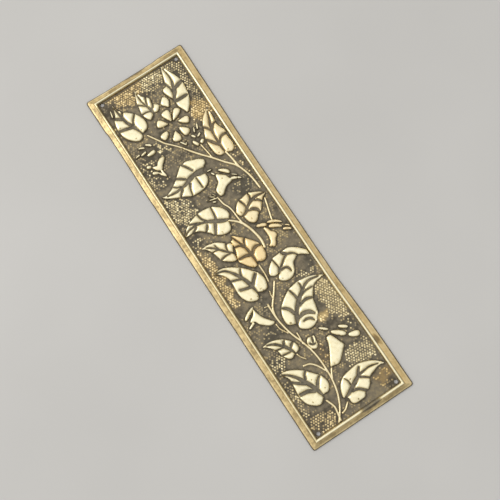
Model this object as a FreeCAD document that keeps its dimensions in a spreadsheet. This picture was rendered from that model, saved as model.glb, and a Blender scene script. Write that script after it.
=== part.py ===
# Door finger plate, pressed from one sheet of brass.
# Lengths are millimetres. The plate lies on its back: +Z is the decorated face,
# +Y runs up the door, and the origin is at the middle of the back.
import os
from math import copysign, cos, dist, pi, sin

import FreeCAD
import Part
import Sketcher

Vector = FreeCAD.Vector
doc = FreeCAD.newDocument("finger_plate")

# Sizes
SIZES = {
    "plate_width": 76.0,
    "plate_length": 275.0,
    "side_bow": 1.7,
    "corner_radius": 1.5,
    "sheet_thickness": 0.7,
    "crest_height": 2.8,
    "side_band": 3.5,
    "end_band": 2.7,
    "crest_land": 0.5,
    "inner_band": 1.8,
    "rim_width": 0.6,
    "relief_height": 2.1,
    "stem_height": 1.0,
    "stem_width": 1.5,
    "hole_diameter": 2.6,
    "hole_from_side": 8.5,
    "hole_from_end": 7.5,
}

sheet = doc.addObject("Spreadsheet::Sheet", "dims")
for row, (size_name, size_value) in enumerate(SIZES.items(), start=1):
    sheet.set("A%d" % row, size_name)
    sheet.set("B%d" % row, str(size_value))
    sheet.setAlias("B%d" % row, size_name)
doc.recompute()


def size(alias):
    return float(sheet.get(alias))


half_width = size("plate_width") / 2
half_length = size("plate_length") / 2

# Pressed border and sunk field
body = doc.addObject("PartDesign::Body", "pressed_sheet")
doc.recompute()


def origin_plane(role):
    for feature in body.Origin.OriginFeatures:
        if feature.Role == role:
            return feature
    raise RuntimeError("no plane " + role)


HALF_WIDTH = "dims.plate_width / 2"
HALF_LENGTH = "dims.plate_length / 2"
# Shares of the half length between which the right side is drawn in
BOW_START = 0.68
BOW_FULL = 0.36
# The wall under the inner slope spreads past the field at the back by this much, and its
# top lies this share of the sheet below the crest.
WALL_SPREAD = 0.4
WALL_TOP = 0.4


def flat_sketch(name, height):
    sketch = body.newObject("Sketcher::SketchObject", name)
    sketch.AttachmentSupport = [(origin_plane("XY_Plane"), "")]
    sketch.MapMode = "FlatFace"
    sketch.setExpression("AttachmentOffset.Base.z", height)
    return sketch


def hold(sketch, kind, first, first_end, second, second_end, guess, formula):
    # One named distance that follows the sheet of sizes.
    sketch.addConstraint(Sketcher.Constraint(kind, first, first_end, second, second_end, guess))
    index = sketch.ConstraintCount - 1
    name = "hold_%d" % index
    sketch.renameConstraint(index, name)
    sketch.setExpression("Constraints." + name, formula)


def ring_sketch(name, height, side, end, bow):
    # Closed outline inset by side and end; bow draws the middle of the right side in.
    right = "(%s - (%s))" % (HALF_WIDTH, side)
    waist = "(%s - (%s))" % (right, bow)
    left = "-" + right
    top = "(%s - (%s))" % (HALF_LENGTH, end)
    bottom = "-" + top
    corners = [
        (left, bottom, -1, -1),
        (right, bottom, 1, -1),
        (right, "-%s * %s" % (HALF_LENGTH, BOW_START), 1, -BOW_START),
        (waist, "-%s * %s" % (HALF_LENGTH, BOW_FULL), 1, -BOW_FULL),
        (waist, "%s * %s" % (HALF_LENGTH, BOW_FULL), 1, BOW_FULL),
        (right, top, 1, 1),
        (left, top, -1, 1),
    ]
    sketch = flat_sketch(name, height)
    count = len(corners)
    guesses = [Vector(x * half_width, y * half_length, 0) for across, along, x, y in corners]
    for start, stop in zip(guesses, guesses[1:] + guesses[:1]):
        sketch.addGeometry(Part.LineSegment(start, stop), False)
    for index in range(count):
        sketch.addConstraint(Sketcher.Constraint("Coincident", index, 2, (index + 1) % count, 1))
    for index, (across, along, x, y) in enumerate(corners):
        hold(sketch, "DistanceX", -1, 1, index, 1, guesses[index].x, across)
        hold(sketch, "DistanceY", -1, 1, index, 1, guesses[index].y, along)
    doc.recompute()
    return sketch


def loft(kind, name, low, high):
    feature = body.newObject(kind, name)
    feature.Profile = low
    feature.Sections = [high]
    feature.Ruled = True
    doc.recompute()
    return feature


SIDE_CREST = "dims.side_band"
END_CREST = "dims.end_band"
SIDE_LIP = "dims.side_band + dims.crest_land"
END_LIP = "dims.end_band + dims.crest_land"
SIDE_FIELD = "dims.side_band + dims.crest_land + dims.inner_band"
END_FIELD = "dims.end_band + dims.crest_land + dims.inner_band"
CREST = "dims.crest_height"
FIELD = "dims.sheet_thickness"

edge_outline = ring_sketch("edge_outline", "0", "0", "0", "dims.side_bow")
edge = body.newObject("PartDesign::Pad", "edge")
edge.Profile = edge_outline
edge.setExpression("Length", FIELD)
doc.recompute()

bevel_foot = ring_sketch("bevel_foot", FIELD, "0", "0", "dims.side_bow")
bevel_top = ring_sketch("bevel_top", CREST, SIDE_CREST, END_CREST, "0")
loft("PartDesign::AdditiveLoft", "outer_bevel", bevel_foot, bevel_top)

hollow_foot = ring_sketch("hollow_foot", "0", "dims.rim_width", "dims.rim_width", "dims.side_bow")
hollow_top = ring_sketch("hollow_top", CREST + " - " + FIELD, SIDE_CREST, END_CREST, "0")
loft("PartDesign::SubtractiveLoft", "back_hollow", hollow_foot, hollow_top)

SIDE_WALL = "%s - %s" % (SIDE_FIELD, WALL_SPREAD)
END_WALL = "%s - %s" % (END_FIELD, WALL_SPREAD)
floor_foot = ring_sketch("floor_foot", "0", SIDE_WALL, END_WALL, "0")
WALL_CREST = "%s - %s * %s" % (CREST, WALL_TOP, FIELD)
floor_top = ring_sketch("floor_top", WALL_CREST, SIDE_CREST, END_CREST, "0")
loft("PartDesign::AdditiveLoft", "field_floor", floor_foot, floor_top)

well_foot = ring_sketch("well_foot", FIELD, SIDE_FIELD, END_FIELD, "0")
well_top = ring_sketch("well_top", CREST, SIDE_LIP, END_LIP, "0")
loft("PartDesign::SubtractiveLoft", "field_well", well_foot, well_top)


def trim_corner(name, across, along):
    # Takes the sharp tip off one outside corner and leaves it round.
    sketch = flat_sketch(name + "_outline", CREST)
    radius = size("corner_radius")
    x, y = half_width * across, half_length * along
    inner_x, inner_y = x - radius * across, y - radius * along
    tip = Vector(x, y, 0)
    on_end = Vector(inner_x, y, 0)
    on_side = Vector(x, inner_y, 0)
    sketch.addGeometry(Part.LineSegment(on_side, tip), False)
    sketch.addGeometry(Part.LineSegment(tip, on_end), False)
    quarter = {(1, 1): 0, (-1, 1): 1, (-1, -1): 2, (1, -1): 3}[(across, along)]
    circle = Part.Circle(Vector(inner_x, inner_y, 0), Vector(0, 0, 1), radius)
    sketch.addGeometry(Part.ArcOfCircle(circle, quarter * pi / 2, (quarter + 1) * pi / 2), False)
    first, last = (2, 1) if across * along > 0 else (1, 2)
    sketch.addConstraint(Sketcher.Constraint("Coincident", 0, 2, 1, 1))
    sketch.addConstraint(Sketcher.Constraint("Coincident", 1, 2, 2, first))
    sketch.addConstraint(Sketcher.Constraint("Coincident", 2, last, 0, 1))
    sketch.addConstraint(Sketcher.Constraint("Vertical", 0))
    sketch.addConstraint(Sketcher.Constraint("Horizontal", 1))
    start_x = "%d * (%s - dims.corner_radius)" % (across, HALF_WIDTH)
    start_y = "%d * (%s - dims.corner_radius)" % (along, HALF_LENGTH)
    hold(sketch, "DistanceX", -1, 1, 1, 2, inner_x, start_x)
    hold(sketch, "DistanceY", -1, 1, 0, 1, inner_y, start_y)
    sketch.addConstraint(Sketcher.Constraint("Radius", 2, radius))
    sketch.renameConstraint(sketch.ConstraintCount - 1, "round")
    sketch.setExpression("Constraints.round", "dims.corner_radius")
    hold(sketch, "DistanceX", -1, 1, 0, 2, x, "%d * %s" % (across, HALF_WIDTH))
    hold(sketch, "DistanceY", -1, 1, 0, 2, y, "%d * %s" % (along, HALF_LENGTH))
    doc.recompute()
    pocket = body.newObject("PartDesign::Pocket", name)
    pocket.Profile = sketch
    pocket.Type = "ThroughAll"
    doc.recompute()


trim_corner("corner_low_left", -1, -1)
trim_corner("corner_low_right", 1, -1)
trim_corner("corner_high_left", -1, 1)
trim_corner("corner_high_right", 1, 1)

# Fixing holes
hole_sketch = flat_sketch("hole_outlines", CREST)
for across in (-1, 1):
    for along in (-1, 1):
        x = across * (half_width - size("hole_from_side"))
        y = along * (half_length - size("hole_from_end"))
        hole = Part.Circle(Vector(x, y, 0), Vector(0, 0, 1), size("hole_diameter") / 2)
        circle = hole_sketch.addGeometry(hole, False)
        spread_x = "%d * (%s - dims.hole_from_side)" % (across, HALF_WIDTH)
        spread_y = "%d * (%s - dims.hole_from_end)" % (along, HALF_LENGTH)
        hold(hole_sketch, "DistanceX", -1, 1, circle, 3, x, spread_x)
        hold(hole_sketch, "DistanceY", -1, 1, circle, 3, y, spread_y)
        hole_sketch.addConstraint(Sketcher.Constraint("Diameter", circle, size("hole_diameter")))
        bore = hole_sketch.ConstraintCount - 1
        hole_sketch.renameConstraint(bore, "bore_%d" % bore)
        hole_sketch.setExpression("Constraints.bore_%d" % bore, "dims.hole_diameter")
doc.recompute()
fixing_holes = body.newObject("PartDesign::Pocket", "fixing_holes")
fixing_holes.Profile = hole_sketch
fixing_holes.Type = "ThroughAll"
doc.recompute()

# Foliage
# Each leaf is an outline that a smooth closed curve passes through, and its veins:
# chased grooves through points x, y with the groove's half width at each. The first is
# the midrib.
LEAVES = {
    "low left leaf": (
        [(-29.9, -86.0), (-25.0, -86.1), (-20.0, -88.3), (-15.5, -91.6), (-11.0, -96.6),
         (-7.8, -100.6), (-6.2, -104.8), (-6.6, -108.6), (-9.4, -111.7), (-12.8, -111.6),
         (-14.4, -113.6), (-17.6, -115.9), (-20.8, -115.2), (-25.0, -111.6), (-26.9, -106.4),
         (-26.9, -101.0), (-26.3, -96.6), (-26.0, -92.0), (-28.0, -88.6)],
        [[(-13.6, -112.6, 0.4), (-14.5, -108.3, 1.0), (-16.0, -104.0, 1.2), (-18.6, -98.5, 1.2),
          (-21.6, -93.4, 0.8), (-25.0, -89.6, 0.5), (-28.4, -87.0, 0.25)],
         [(-17.4, -97.6, 0.7), (-16.2, -94.6, 0.6), (-14.2, -92.8, 0.4)],
         [(-14.4, -106.3, 1.0), (-11.5, -102.6, 0.8), (-9.0, -100.5, 0.6)],
         [(-19.0, -99.6, 0.9), (-22.4, -97.3, 0.8), (-25.6, -94.6, 0.6)],
         [(-16.6, -106.6, 1.1), (-20.4, -104.6, 1.1), (-25.6, -103.9, 1.0)]]),
    "low right leaf": (
        [(30.5, -116.4), (26.0, -111.4), (21.0, -108.7), (15.0, -107.1), (9.0, -107.6),
         (4.0, -108.6), (0.0, -111.0), (-2.9, -115.4), (-4.1, -120.0), (-2.4, -120.8),
         (-1.4, -122.6), (-1.3, -125.6), (0.8, -127.3), (4.5, -127.6), (8.3, -127.2), (9.9, -125.0),
         (12.4, -124.4), (15.6, -122.0), (17.6, -118.6), (22.0, -117.0), (26.5, -115.7)],
        [[(-2.6, -121.0, 0.5), (2.4, -118.9, 1.0), (7.0, -116.4, 1.2), (12.0, -113.9, 0.9),
          (16.5, -113.2, 0.5), (21.0, -112.9, 0.35), (26.0, -114.2, 0.35), (29.5, -115.9, 0.2)],
         [(12.4, -112.9, 0.9), (13.8, -111.0, 0.7), (15.2, -109.4, 0.5)],
         [(4.6, -115.8, 0.4), (4.5, -113.0, 0.3), (3.4, -110.7, 0.15)],
         [(12.6, -115.2, 0.7), (14.9, -116.9, 0.5), (17.3, -118.8, 0.4)],
         [(3.6, -119.7, 0.8), (7.6, -121.0, 0.7), (11.2, -124.6, 0.8)]]),
    "small left leaf": (
        [(-29.2, -65.7), (-25.5, -65.0), (-21.5, -65.5), (-17.5, -66.9), (-14.0, -69.4),
         (-11.2, -72.4), (-9.5, -75.6), (-9.6, -78.8), (-11.4, -80.2), (-13.7, -80.4),
         (-16.4, -82.0), (-19.0, -81.3), (-20.8, -78.8), (-22.0, -76.2), (-22.4, -73.2),
         (-24.6, -70.2), (-27.0, -67.4)],
        [[(-13.4, -80.6, 0.3), (-14.4, -77.6, 0.6), (-16.2, -74.2, 0.9), (-18.8, -71.0, 0.7),
          (-22.0, -68.0, 0.6), (-25.0, -66.5, 0.4), (-28.0, -65.9, 0.15)],
         [(-16.6, -72.0, 0.6), (-16.2, -70.6, 0.7), (-15.4, -69.6, 0.4)],
         [(-14.2, -75.8, 0.5), (-12.8, -74.4, 0.7), (-11.2, -73.5, 0.5)],
         [(-17.6, -73.0, 0.4), (-20.2, -72.7, 0.35), (-22.6, -72.3, 0.4)],
         [(-15.4, -77.9, 0.4), (-18.2, -77.5, 0.35), (-21.0, -77.2, 0.4)]]),
    "great right leaf": (
        [(30.6, -48.6), (26.0, -45.6), (21.5, -43.8), (17.0, -42.7), (12.0, -42.4), (6.5, -43.3),
         (2.0, -45.3), (-2.0, -48.0), (-5.4, -51.4), (-7.4, -55.0), (-8.2, -59.0), (-7.6, -62.6),
         (-5.0, -64.4), (-2.2, -65.2), (-2.6, -68.2), (-0.6, -70.6), (3.0, -72.4), (7.0, -72.2),
         (10.6, -70.0), (13.2, -66.4), (14.8, -61.6), (15.6, -57.6), (18.0, -54.0), (20.4, -50.8),
         (24.0, -49.3), (27.5, -48.7)],
        [[(-2.4, -65.6, 0.5), (-0.3, -62.6, 1.2), (1.8, -58.9, 1.2), (5.2, -55.0, 1.2),
          (9.0, -51.8, 1.1), (13.0, -48.9, 0.8), (16.5, -46.8, 0.7), (20.5, -45.9, 0.6),
          (25.0, -46.5, 0.5), (29.2, -48.2, 0.2)],
         [(0.2, -59.0, 0.9), (-0.8, -55.6, 1.0), (-2.6, -53.2, 0.8), (-4.6, -51.9, 0.45)],
         [(7.2, -52.0, 0.8), (6.6, -48.6, 0.6), (5.7, -44.9, 0.35)],
         [(12.4, -49.0, 0.7), (13.4, -46.6, 0.5), (13.3, -43.9, 0.3)],
         [(10.8, -51.2, 0.6), (14.4, -50.3, 0.45), (19.4, -50.6, 0.4)],
         [(5.6, -56.2, 0.9), (10.0, -55.2, 0.75), (12.6, -55.3, 0.8), (15.4, -56.4, 0.5)],
         [(0.6, -62.6, 1.0), (5.0, -61.9, 1.1), (8.6, -63.0, 1.2), (11.2, -65.8, 0.6)],
         [(2.4, -66.2, 0.3), (4.8, -66.0, 0.6), (7.4, -67.2, 0.7), (8.6, -69.4, 0.25)]]),
    "middle left leaf": (
        [(-29.8, -9.3), (-26.5, -8.3), (-22.5, -8.6), (-18.0, -10.5), (-14.0, -13.3),
         (-10.3, -16.6), (-7.2, -20.2), (-4.6, -23.8), (-3.2, -27.6), (-3.3, -31.4), (-4.6, -34.8),
         (-6.8, -36.0), (-9.8, -35.6), (-12.0, -34.6), (-12.6, -37.0), (-14.2, -38.7),
         (-16.6, -38.4), (-20.2, -36.5), (-22.5, -33.0), (-23.4, -29.0), (-23.3, -24.5),
         (-22.9, -20.0), (-22.9, -17.6), (-24.5, -14.2), (-26.8, -11.2)],
        [[(-12.1, -35.2, 0.3), (-12.6, -31.0, 0.7), (-13.2, -27.2, 1.2), (-14.8, -22.4, 0.9),
          (-16.8, -18.2, 0.9), (-19.2, -14.4, 0.6), (-22.4, -11.0, 0.45), (-25.5, -9.9, 0.4),
          (-28.4, -9.4, 0.3)],
         [(-12.0, -28.4, 1.0), (-9.2, -25.6, 0.9), (-6.5, -23.3, 0.8)],
         [(-15.2, -19.8, 0.7), (-14.4, -17.4, 0.5), (-13.1, -15.3, 0.35)],
         [(-15.6, -21.6, 0.6), (-18.6, -20.3, 0.5), (-22.4, -19.2, 0.55)],
         [(-13.6, -29.2, 0.9), (-17.0, -28.3, 0.75), (-20.6, -27.2, 0.75)]]),
    "hidden leaf": (
        [(-27.2, 9.3), (-23.5, 9.8), (-19.5, 9.3), (-16.0, 7.9), (-13.0, 5.6), (-11.2, 3.6),
         (-9.2, 2.8), (-8.4, 0.4), (-9.6, -1.9), (-10.8, -4.0), (-10.8, -6.6), (-11.4, -9.2),
         (-13.8, -9.2), (-17.0, -7.2), (-20.0, -4.6), (-21.2, -1.4), (-22.2, 2.4), (-23.4, 5.2),
         (-25.2, 7.6)],
        [[(-10.9, -4.0, 0.4), (-13.4, -1.9, 0.5), (-15.8, 0.8, 0.5), (-18.4, 3.8, 0.5),
          (-21.0, 6.3, 0.45), (-23.8, 8.2, 0.25)],
         [(-13.2, -1.8, 0.3), (-13.2, 0.6, 0.35), (-12.4, 2.8, 0.35), (-11.2, 4.0, 0.3)],
         [(-17.0, 2.6, 0.3), (-18.2, 5.0, 0.35), (-18.5, 6.8, 0.3)],
         [(-18.6, 3.1, 0.3), (-20.2, 3.5, 0.25), (-22.4, 3.4, 0.25)],
         [(-13.0, -3.2, 0.4), (-16.4, -3.0, 0.4), (-20.2, -3.8, 0.5)]]),
    "front leaf": (
        [(-6.1, 6.2), (-3.2, 4.1), (0.2, 0.9), (3.0, -2.2), (5.4, -5.4), (7.0, -9.0), (7.3, -12.8),
         (6.6, -16.6), (4.6, -18.8), (1.4, -19.0), (-0.8, -17.6), (-2.2, -19.6), (-4.6, -19.9),
         (-7.4, -17.4), (-9.9, -13.9), (-11.5, -11.0), (-10.8, -7.6), (-9.6, -4.4), (-8.5, -1.0),
         (-8.6, 3.4), (-7.2, 3.6)],
        [[(-1.6, -18.6, 0.3), (-1.6, -14.0, 0.6), (-1.8, -10.0, 0.8), (-2.6, -5.4, 0.6),
          (-4.0, -1.0, 0.45), (-5.4, 2.6, 0.35), (-6.2, 5.2, 0.2)],
         [(-2.4, -11.4, 0.9), (-5.4, -10.2, 0.8), (-9.6, -9.9, 0.6)],
         [(-1.2, -11.4, 0.9), (1.4, -9.2, 0.9), (4.0, -8.4, 0.8), (6.6, -9.2, 0.5)],
         [(-3.2, -4.6, 0.5), (-5.0, -2.4, 0.45), (-8.4, -1.6, 0.35)],
         [(-2.4, -4.4, 0.5), (-1.4, -1.8, 0.5), (0.2, 0.2, 0.35)]]),
    "curled leaf": (
        [(0.4, -29.6), (1.4, -26.4), (4.0, -23.7), (7.0, -21.8), (8.2, -20.7), (13.9, -20.3),
         (16.4, -20.4), (20.0, -20.1), (24.4, -22.5), (28.2, -26.2), (30.0, -29.0), (29.6, -32.0),
         (26.0, -29.6), (22.8, -28.2), (20.6, -29.6), (18.4, -30.8), (17.2, -33.4), (15.6, -36.2),
         (12.8, -38.3), (9.0, -38.7), (6.0, -37.6), (3.9, -35.2), (4.8, -33.0), (6.6, -31.4),
         (4.2, -31.9), (2.4, -31.6)],
        [[(8.2, -29.8, 0.6), (11.4, -27.6, 0.45), (14.4, -25.2, 0.5), (17.4, -24.0, 0.6),
          (21.2, -25.4, 0.45), (23.4, -28.6, 0.35)],
         [(7.0, -31.2, 0.7), (8.2, -28.6, 0.35), (7.9, -25.0, 0.3), (7.3, -21.4, 0.3)],
         [(14.9, -20.2, 0.5), (15.6, -22.2, 0.9), (17.6, -23.6, 0.6)],
         [(8.6, -30.6, 0.6), (11.8, -30.6, 0.5), (13.6, -32.2, 0.6), (13.9, -34.8, 0.25)]]),
    "west leaf": (
        [(-32.0, 21.6), (-29.5, 24.8), (-26.4, 27.6), (-22.6, 29.4), (-18.0, 30.8), (-13.0, 31.2),
         (-8.6, 30.6), (-4.6, 29.0), (-1.4, 26.2), (0.7, 22.6), (1.2, 19.4), (-0.4, 17.0),
         (-1.9, 15.4), (-2.3, 12.4), (-3.6, 9.8), (-6.4, 8.9), (-10.0, 9.6), (-13.4, 11.4),
         (-15.0, 13.0), (-17.4, 16.0), (-19.6, 18.2), (-22.4, 20.4), (-26.5, 21.3)],
        [[(-1.2, 16.2, 0.6), (-5.0, 17.8, 1.1), (-9.0, 20.0, 1.2), (-13.0, 22.3, 0.9),
          (-16.5, 23.7, 0.6), (-20.5, 24.9, 0.7), (-24.0, 24.7, 0.5), (-27.5, 24.3, 0.4),
          (-30.5, 22.6, 0.25)],
         [(-8.4, 20.8, 0.7), (-7.6, 24.0, 0.5), (-7.0, 29.4, 0.3)],
         [(-14.4, 23.4, 0.8), (-16.2, 26.4, 0.5), (-17.0, 30.4, 0.35)],
         [(-18.5, 24.6, 0.7), (-21.6, 26.0, 0.6), (-24.8, 27.5, 0.4)],
         [(-10.2, 18.8, 0.9), (-12.0, 15.8, 0.8), (-14.0, 12.4, 0.6)],
         [(-15.0, 21.2, 0.4), (-16.2, 19.3, 0.6), (-18.4, 17.2, 0.4)],
         [(-22.0, 23.7, 0.4), (-23.6, 22.6, 0.5), (-26.0, 21.4, 0.3)]]),
    "east leaf": (
        [(28.6, 18.2), (26.0, 20.8), (22.6, 23.0), (19.6, 24.2), (16.6, 24.5), (13.0, 23.8),
         (9.8, 23.2), (7.0, 20.8), (5.1, 17.4), (5.8, 14.4), (7.6, 12.6), (8.0, 10.0), (9.0, 7.2),
         (11.6, 5.0), (14.4, 5.6), (17.0, 8.4), (19.6, 9.6), (21.6, 11.6), (23.6, 14.4),
         (26.0, 16.6)],
        [[(7.4, 12.9, 0.4), (10.8, 14.2, 0.7), (13.6, 16.4, 0.7), (16.6, 18.4, 0.8),
          (19.6, 19.2, 0.9), (23.0, 19.6, 0.6), (27.6, 18.7, 0.3)],
         [(12.6, 15.9, 0.4), (12.5, 19.0, 0.5), (11.2, 23.0, 0.4)],
         [(17.4, 18.8, 0.8), (18.4, 21.4, 0.4), (18.4, 24.2, 0.3)],
         [(12.4, 14.4, 0.6), (15.6, 13.6, 0.9), (18.0, 11.6, 0.9), (18.4, 9.2, 0.5)],
         [(19.8, 18.0, 0.5), (22.0, 16.8, 0.6), (23.6, 14.4, 0.4)]]),
    "high left leaf": (
        [(-30.6, 53.2), (-27.4, 52.5), (-23.6, 53.6), (-20.2, 55.5), (-16.4, 58.2), (-12.2, 62.0),
         (-9.0, 64.6), (-6.4, 64.9), (-3.8, 65.5), (0.4, 63.9), (4.8, 62.0), (7.2, 59.8),
         (6.8, 57.2), (4.6, 55.6), (2.6, 53.4), (2.9, 50.2), (2.8, 47.8), (1.4, 45.2), (-1.6, 43.2),
         (-5.6, 42.3), (-9.6, 42.2), (-13.2, 42.8), (-17.6, 45.2), (-21.6, 46.9), (-25.6, 49.0),
         (-28.4, 50.8)],
        [[(3.4, 53.4, 2.0), (-0.6, 54.0, 2.0), (-4.0, 54.3, 1.3), (-8.0, 53.4, 1.5),
          (-12.0, 51.8, 0.9), (-16.0, 51.3, 0.7), (-20.0, 50.8, 0.6), (-25.0, 51.4, 0.5),
          (-29.0, 52.4, 0.25)],
         [(-3.2, 57.2, 0.6), (-4.8, 60.4, 0.6), (-7.4, 64.6, 0.5)],
         [(-9.8, 54.2, 0.6), (-12.6, 56.6, 0.7), (-16.0, 58.8, 0.5)],
         [(-15.6, 52.2, 0.5), (-18.2, 53.2, 0.4), (-20.2, 55.2, 0.3)],
         [(-4.0, 52.0, 0.3), (-3.9, 48.0, 0.35), (-3.8, 44.0, 0.4)],
         [(-9.4, 50.9, 0.7), (-11.2, 47.4, 0.4), (-12.2, 43.2, 0.3)],
         [(-15.8, 50.0, 0.6), (-18.2, 47.8, 0.5), (-19.4, 45.8, 0.3)]]),
    "high right leaf": (
        [(27.6, 88.2), (23.6, 86.0), (20.6, 83.0), (18.8, 79.6), (18.0, 77.0), (16.4, 74.2),
         (15.6, 71.2), (15.0, 67.6), (15.0, 63.0), (15.8, 58.0), (18.4, 55.5), (21.6, 55.8),
         (23.6, 55.0), (26.2, 53.9), (28.6, 55.6), (29.6, 59.4), (29.2, 63.0), (29.2, 65.6),
         (30.0, 68.4), (28.8, 72.2), (27.6, 75.8), (28.2, 80.0), (28.5, 84.6)],
        [[(21.8, 55.6, 0.3), (21.6, 60.0, 0.5), (21.7, 64.5, 0.7), (21.9, 69.5, 0.5),
          (22.6, 74.0, 0.8), (23.8, 77.6, 0.8), (25.4, 81.6, 0.45), (27.2, 86.6, 0.25)],
         [(21.0, 62.6, 0.6), (18.8, 66.0, 0.9), (15.8, 70.2, 0.6)],
         [(22.2, 73.6, 0.6), (20.4, 77.0, 0.6), (18.4, 78.8, 0.4)],
         [(22.4, 63.6, 0.5), (24.4, 66.2, 0.5), (27.4, 67.2, 0.7), (29.6, 66.6, 0.6)],
         [(23.6, 75.0, 0.8), (25.6, 77.0, 0.5), (27.9, 77.4, 0.35)]]),
    "top left leaf": (
        [(-24.3, 125.8), (-23.2, 122.0), (-21.4, 118.4), (-18.8, 116.6), (-15.6, 113.6),
         (-13.0, 110.4), (-11.3, 106.0), (-11.1, 101.8), (-12.6, 99.0), (-15.4, 97.9),
         (-17.4, 97.4), (-18.4, 95.2), (-21.0, 94.1), (-24.0, 95.2), (-27.6, 98.8), (-29.6, 102.6),
         (-30.2, 107.0), (-30.0, 111.4), (-28.8, 115.4), (-27.0, 117.2), (-25.6, 120.6)],
        [[(-17.4, 97.6, 0.4), (-18.6, 101.4, 0.6), (-20.0, 105.0, 1.1), (-22.2, 110.0, 0.8),
          (-23.0, 114.6, 0.8), (-23.6, 119.0, 0.45), (-24.2, 123.4, 0.2)],
         [(-20.6, 104.8, 0.8), (-25.0, 106.2, 0.9), (-29.8, 107.2, 0.7)],
         [(-22.8, 112.8, 0.8), (-25.4, 114.9, 0.9), (-28.4, 116.8, 0.6)],
         [(-19.2, 105.6, 0.5), (-18.0, 108.6, 0.4), (-14.8, 112.2, 0.4)],
         [(-22.4, 115.4, 0.4), (-21.2, 117.4, 0.4), (-20.2, 118.6, 0.3)]]),
    "top small leaf": (
        [(-6.2, 125.8), (-4.8, 121.6), (-2.6, 118.6), (-0.8, 116.9), (-0.1, 115.2), (-0.9, 112.4),
         (0.8, 110.6), (2.4, 109.2), (2.0, 106.8), (-0.8, 104.9), (-3.2, 105.6), (-5.0, 104.0),
         (-7.6, 102.5), (-9.7, 104.6), (-10.7, 107.6), (-10.9, 110.4), (-10.1, 114.6),
         (-9.6, 118.0), (-8.0, 122.0)],
        [[(-3.6, 105.2, 0.6), (-3.8, 108.8, 0.9), (-4.8, 112.0, 0.4), (-6.0, 116.0, 0.3),
          (-6.3, 120.0, 0.3), (-6.3, 123.6, 0.15)],
         [(-4.6, 107.8, 0.4), (-7.4, 108.7, 0.3), (-10.8, 108.7, 0.35)],
         [(-5.4, 112.4, 0.3), (-7.4, 114.4, 0.35), (-10.0, 116.2, 0.4)],
         [(-3.4, 109.0, 0.5), (-1.8, 109.6, 0.5), (-0.6, 111.6, 0.4)],
         [(-4.4, 112.6, 0.3), (-3.4, 115.8, 0.4), (-2.2, 118.4, 0.4)]]),
    "top right leaf": (
        [(17.8, 130.6), (19.9, 127.2), (21.8, 123.4), (23.6, 119.0), (24.6, 114.6), (24.4, 109.6),
         (23.4, 104.0), (21.6, 99.4), (18.6, 95.4), (15.8, 93.4), (14.2, 96.6), (12.6, 100.4),
         (12.6, 103.8), (12.4, 106.6), (10.6, 110.6), (9.5, 114.4), (10.8, 116.6), (13.4, 117.0),
         (14.0, 119.6), (15.4, 124.6), (16.8, 128.6)],
        [[(12.4, 104.6, 0.8), (14.6, 108.0, 0.9), (16.6, 111.4, 1.4), (17.8, 115.0, 0.9),
          (18.9, 119.0, 0.5), (18.8, 124.0, 0.3), (18.1, 128.6, 0.2)],
         [(13.6, 104.4, 0.9), (18.0, 104.2, 1.0), (21.8, 104.2, 0.8)],
         [(17.4, 112.6, 1.0), (20.6, 113.4, 1.1), (24.4, 114.4, 0.9)],
         [(15.0, 110.6, 0.5), (15.2, 114.0, 0.5), (13.8, 118.2, 0.6)]]),
}

# Flower bodies, in the same form
FLOWERS = {
    "low right bell": (
        [(0.2, -99.8), (1.2, -97.2), (4.2, -92.2), (7.0, -86.8), (8.0, -83.0), (9.6, -82.2),
         (11.6, -82.6), (13.4, -86.0), (14.9, -90.0), (15.7, -92.6), (13.6, -94.8), (11.0, -97.3),
         (8.0, -100.0), (5.4, -101.0), (2.8, -100.4)],
        []),
    "left bell": (
        [(-22.4, -44.2), (-20.6, -41.8), (-19.9, -44.0), (-18.9, -47.5), (-17.3, -50.6),
         (-15.0, -53.6), (-13.2, -56.0), (-14.5, -57.4), (-17.2, -57.0), (-20.0, -55.0),
         (-22.8, -52.4), (-24.2, -49.6), (-27.0, -48.3), (-25.4, -46.4), (-23.6, -45.4)],
        []),
    "middle right bell": (
        [(10.7, -13.2), (13.0, -11.0), (14.0, -7.0), (14.0, -2.2), (14.9, -0.8), (16.6, -2.4),
         (17.6, -5.0), (19.6, -7.2), (19.6, -9.8), (17.4, -11.6), (16.0, -14.2), (14.2, -15.6),
         (12.4, -14.7)],
        [[(17.2, -5.0, 0.2), (17.4, -7.4, 0.3), (17.0, -10.4, 0.3)]]),
    "high bell": (
        [(1.8, 35.2), (2.8, 32.4), (5.3, 32.2), (7.5, 34.0), (10.5, 36.0), (14.5, 37.0),
         (15.6, 38.4), (14.4, 40.2), (13.8, 42.2), (11.4, 44.6), (8.5, 46.8), (7.4, 46.2),
         (6.6, 43.2), (6.2, 41.3), (4.0, 39.5), (2.2, 37.6)],
        []),
    "small left bell": (
        [(-13.6, 75.4), (-14.4, 76.6), (-17.0, 76.9), (-20.0, 75.2), (-21.2, 73.6), (-23.4, 74.2),
         (-24.8, 73.6), (-23.4, 71.0), (-21.5, 69.4), (-19.2, 69.2), (-17.9, 71.0), (-15.4, 73.3)],
        []),
    "bud": (
        [(-4.1, -80.0), (-3.5, -77.8), (-1.5, -76.1), (0.8, -76.7), (2.7, -77.2), (2.3, -80.2),
         (1.7, -83.2), (0.2, -85.2), (-1.7, -85.1), (-3.3, -83.2)],
        [[(0.9, -77.4, 0.4), (0.4, -79.2, 0.5), (-0.4, -81.0, 0.3)],
         [(-2.4, -80.2, 0.5), (-1.4, -81.6, 0.4), (0.6, -82.0, 0.4)]]),
    "top bud": (
        [(3.6, 108.6), (5.4, 110.7), (7.1, 111.9), (9.1, 110.6), (9.9, 108.0), (9.4, 106.0),
         (8.2, 104.0), (6.9, 103.4), (5.4, 105.1), (3.9, 106.6)],
        []),
}

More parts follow.
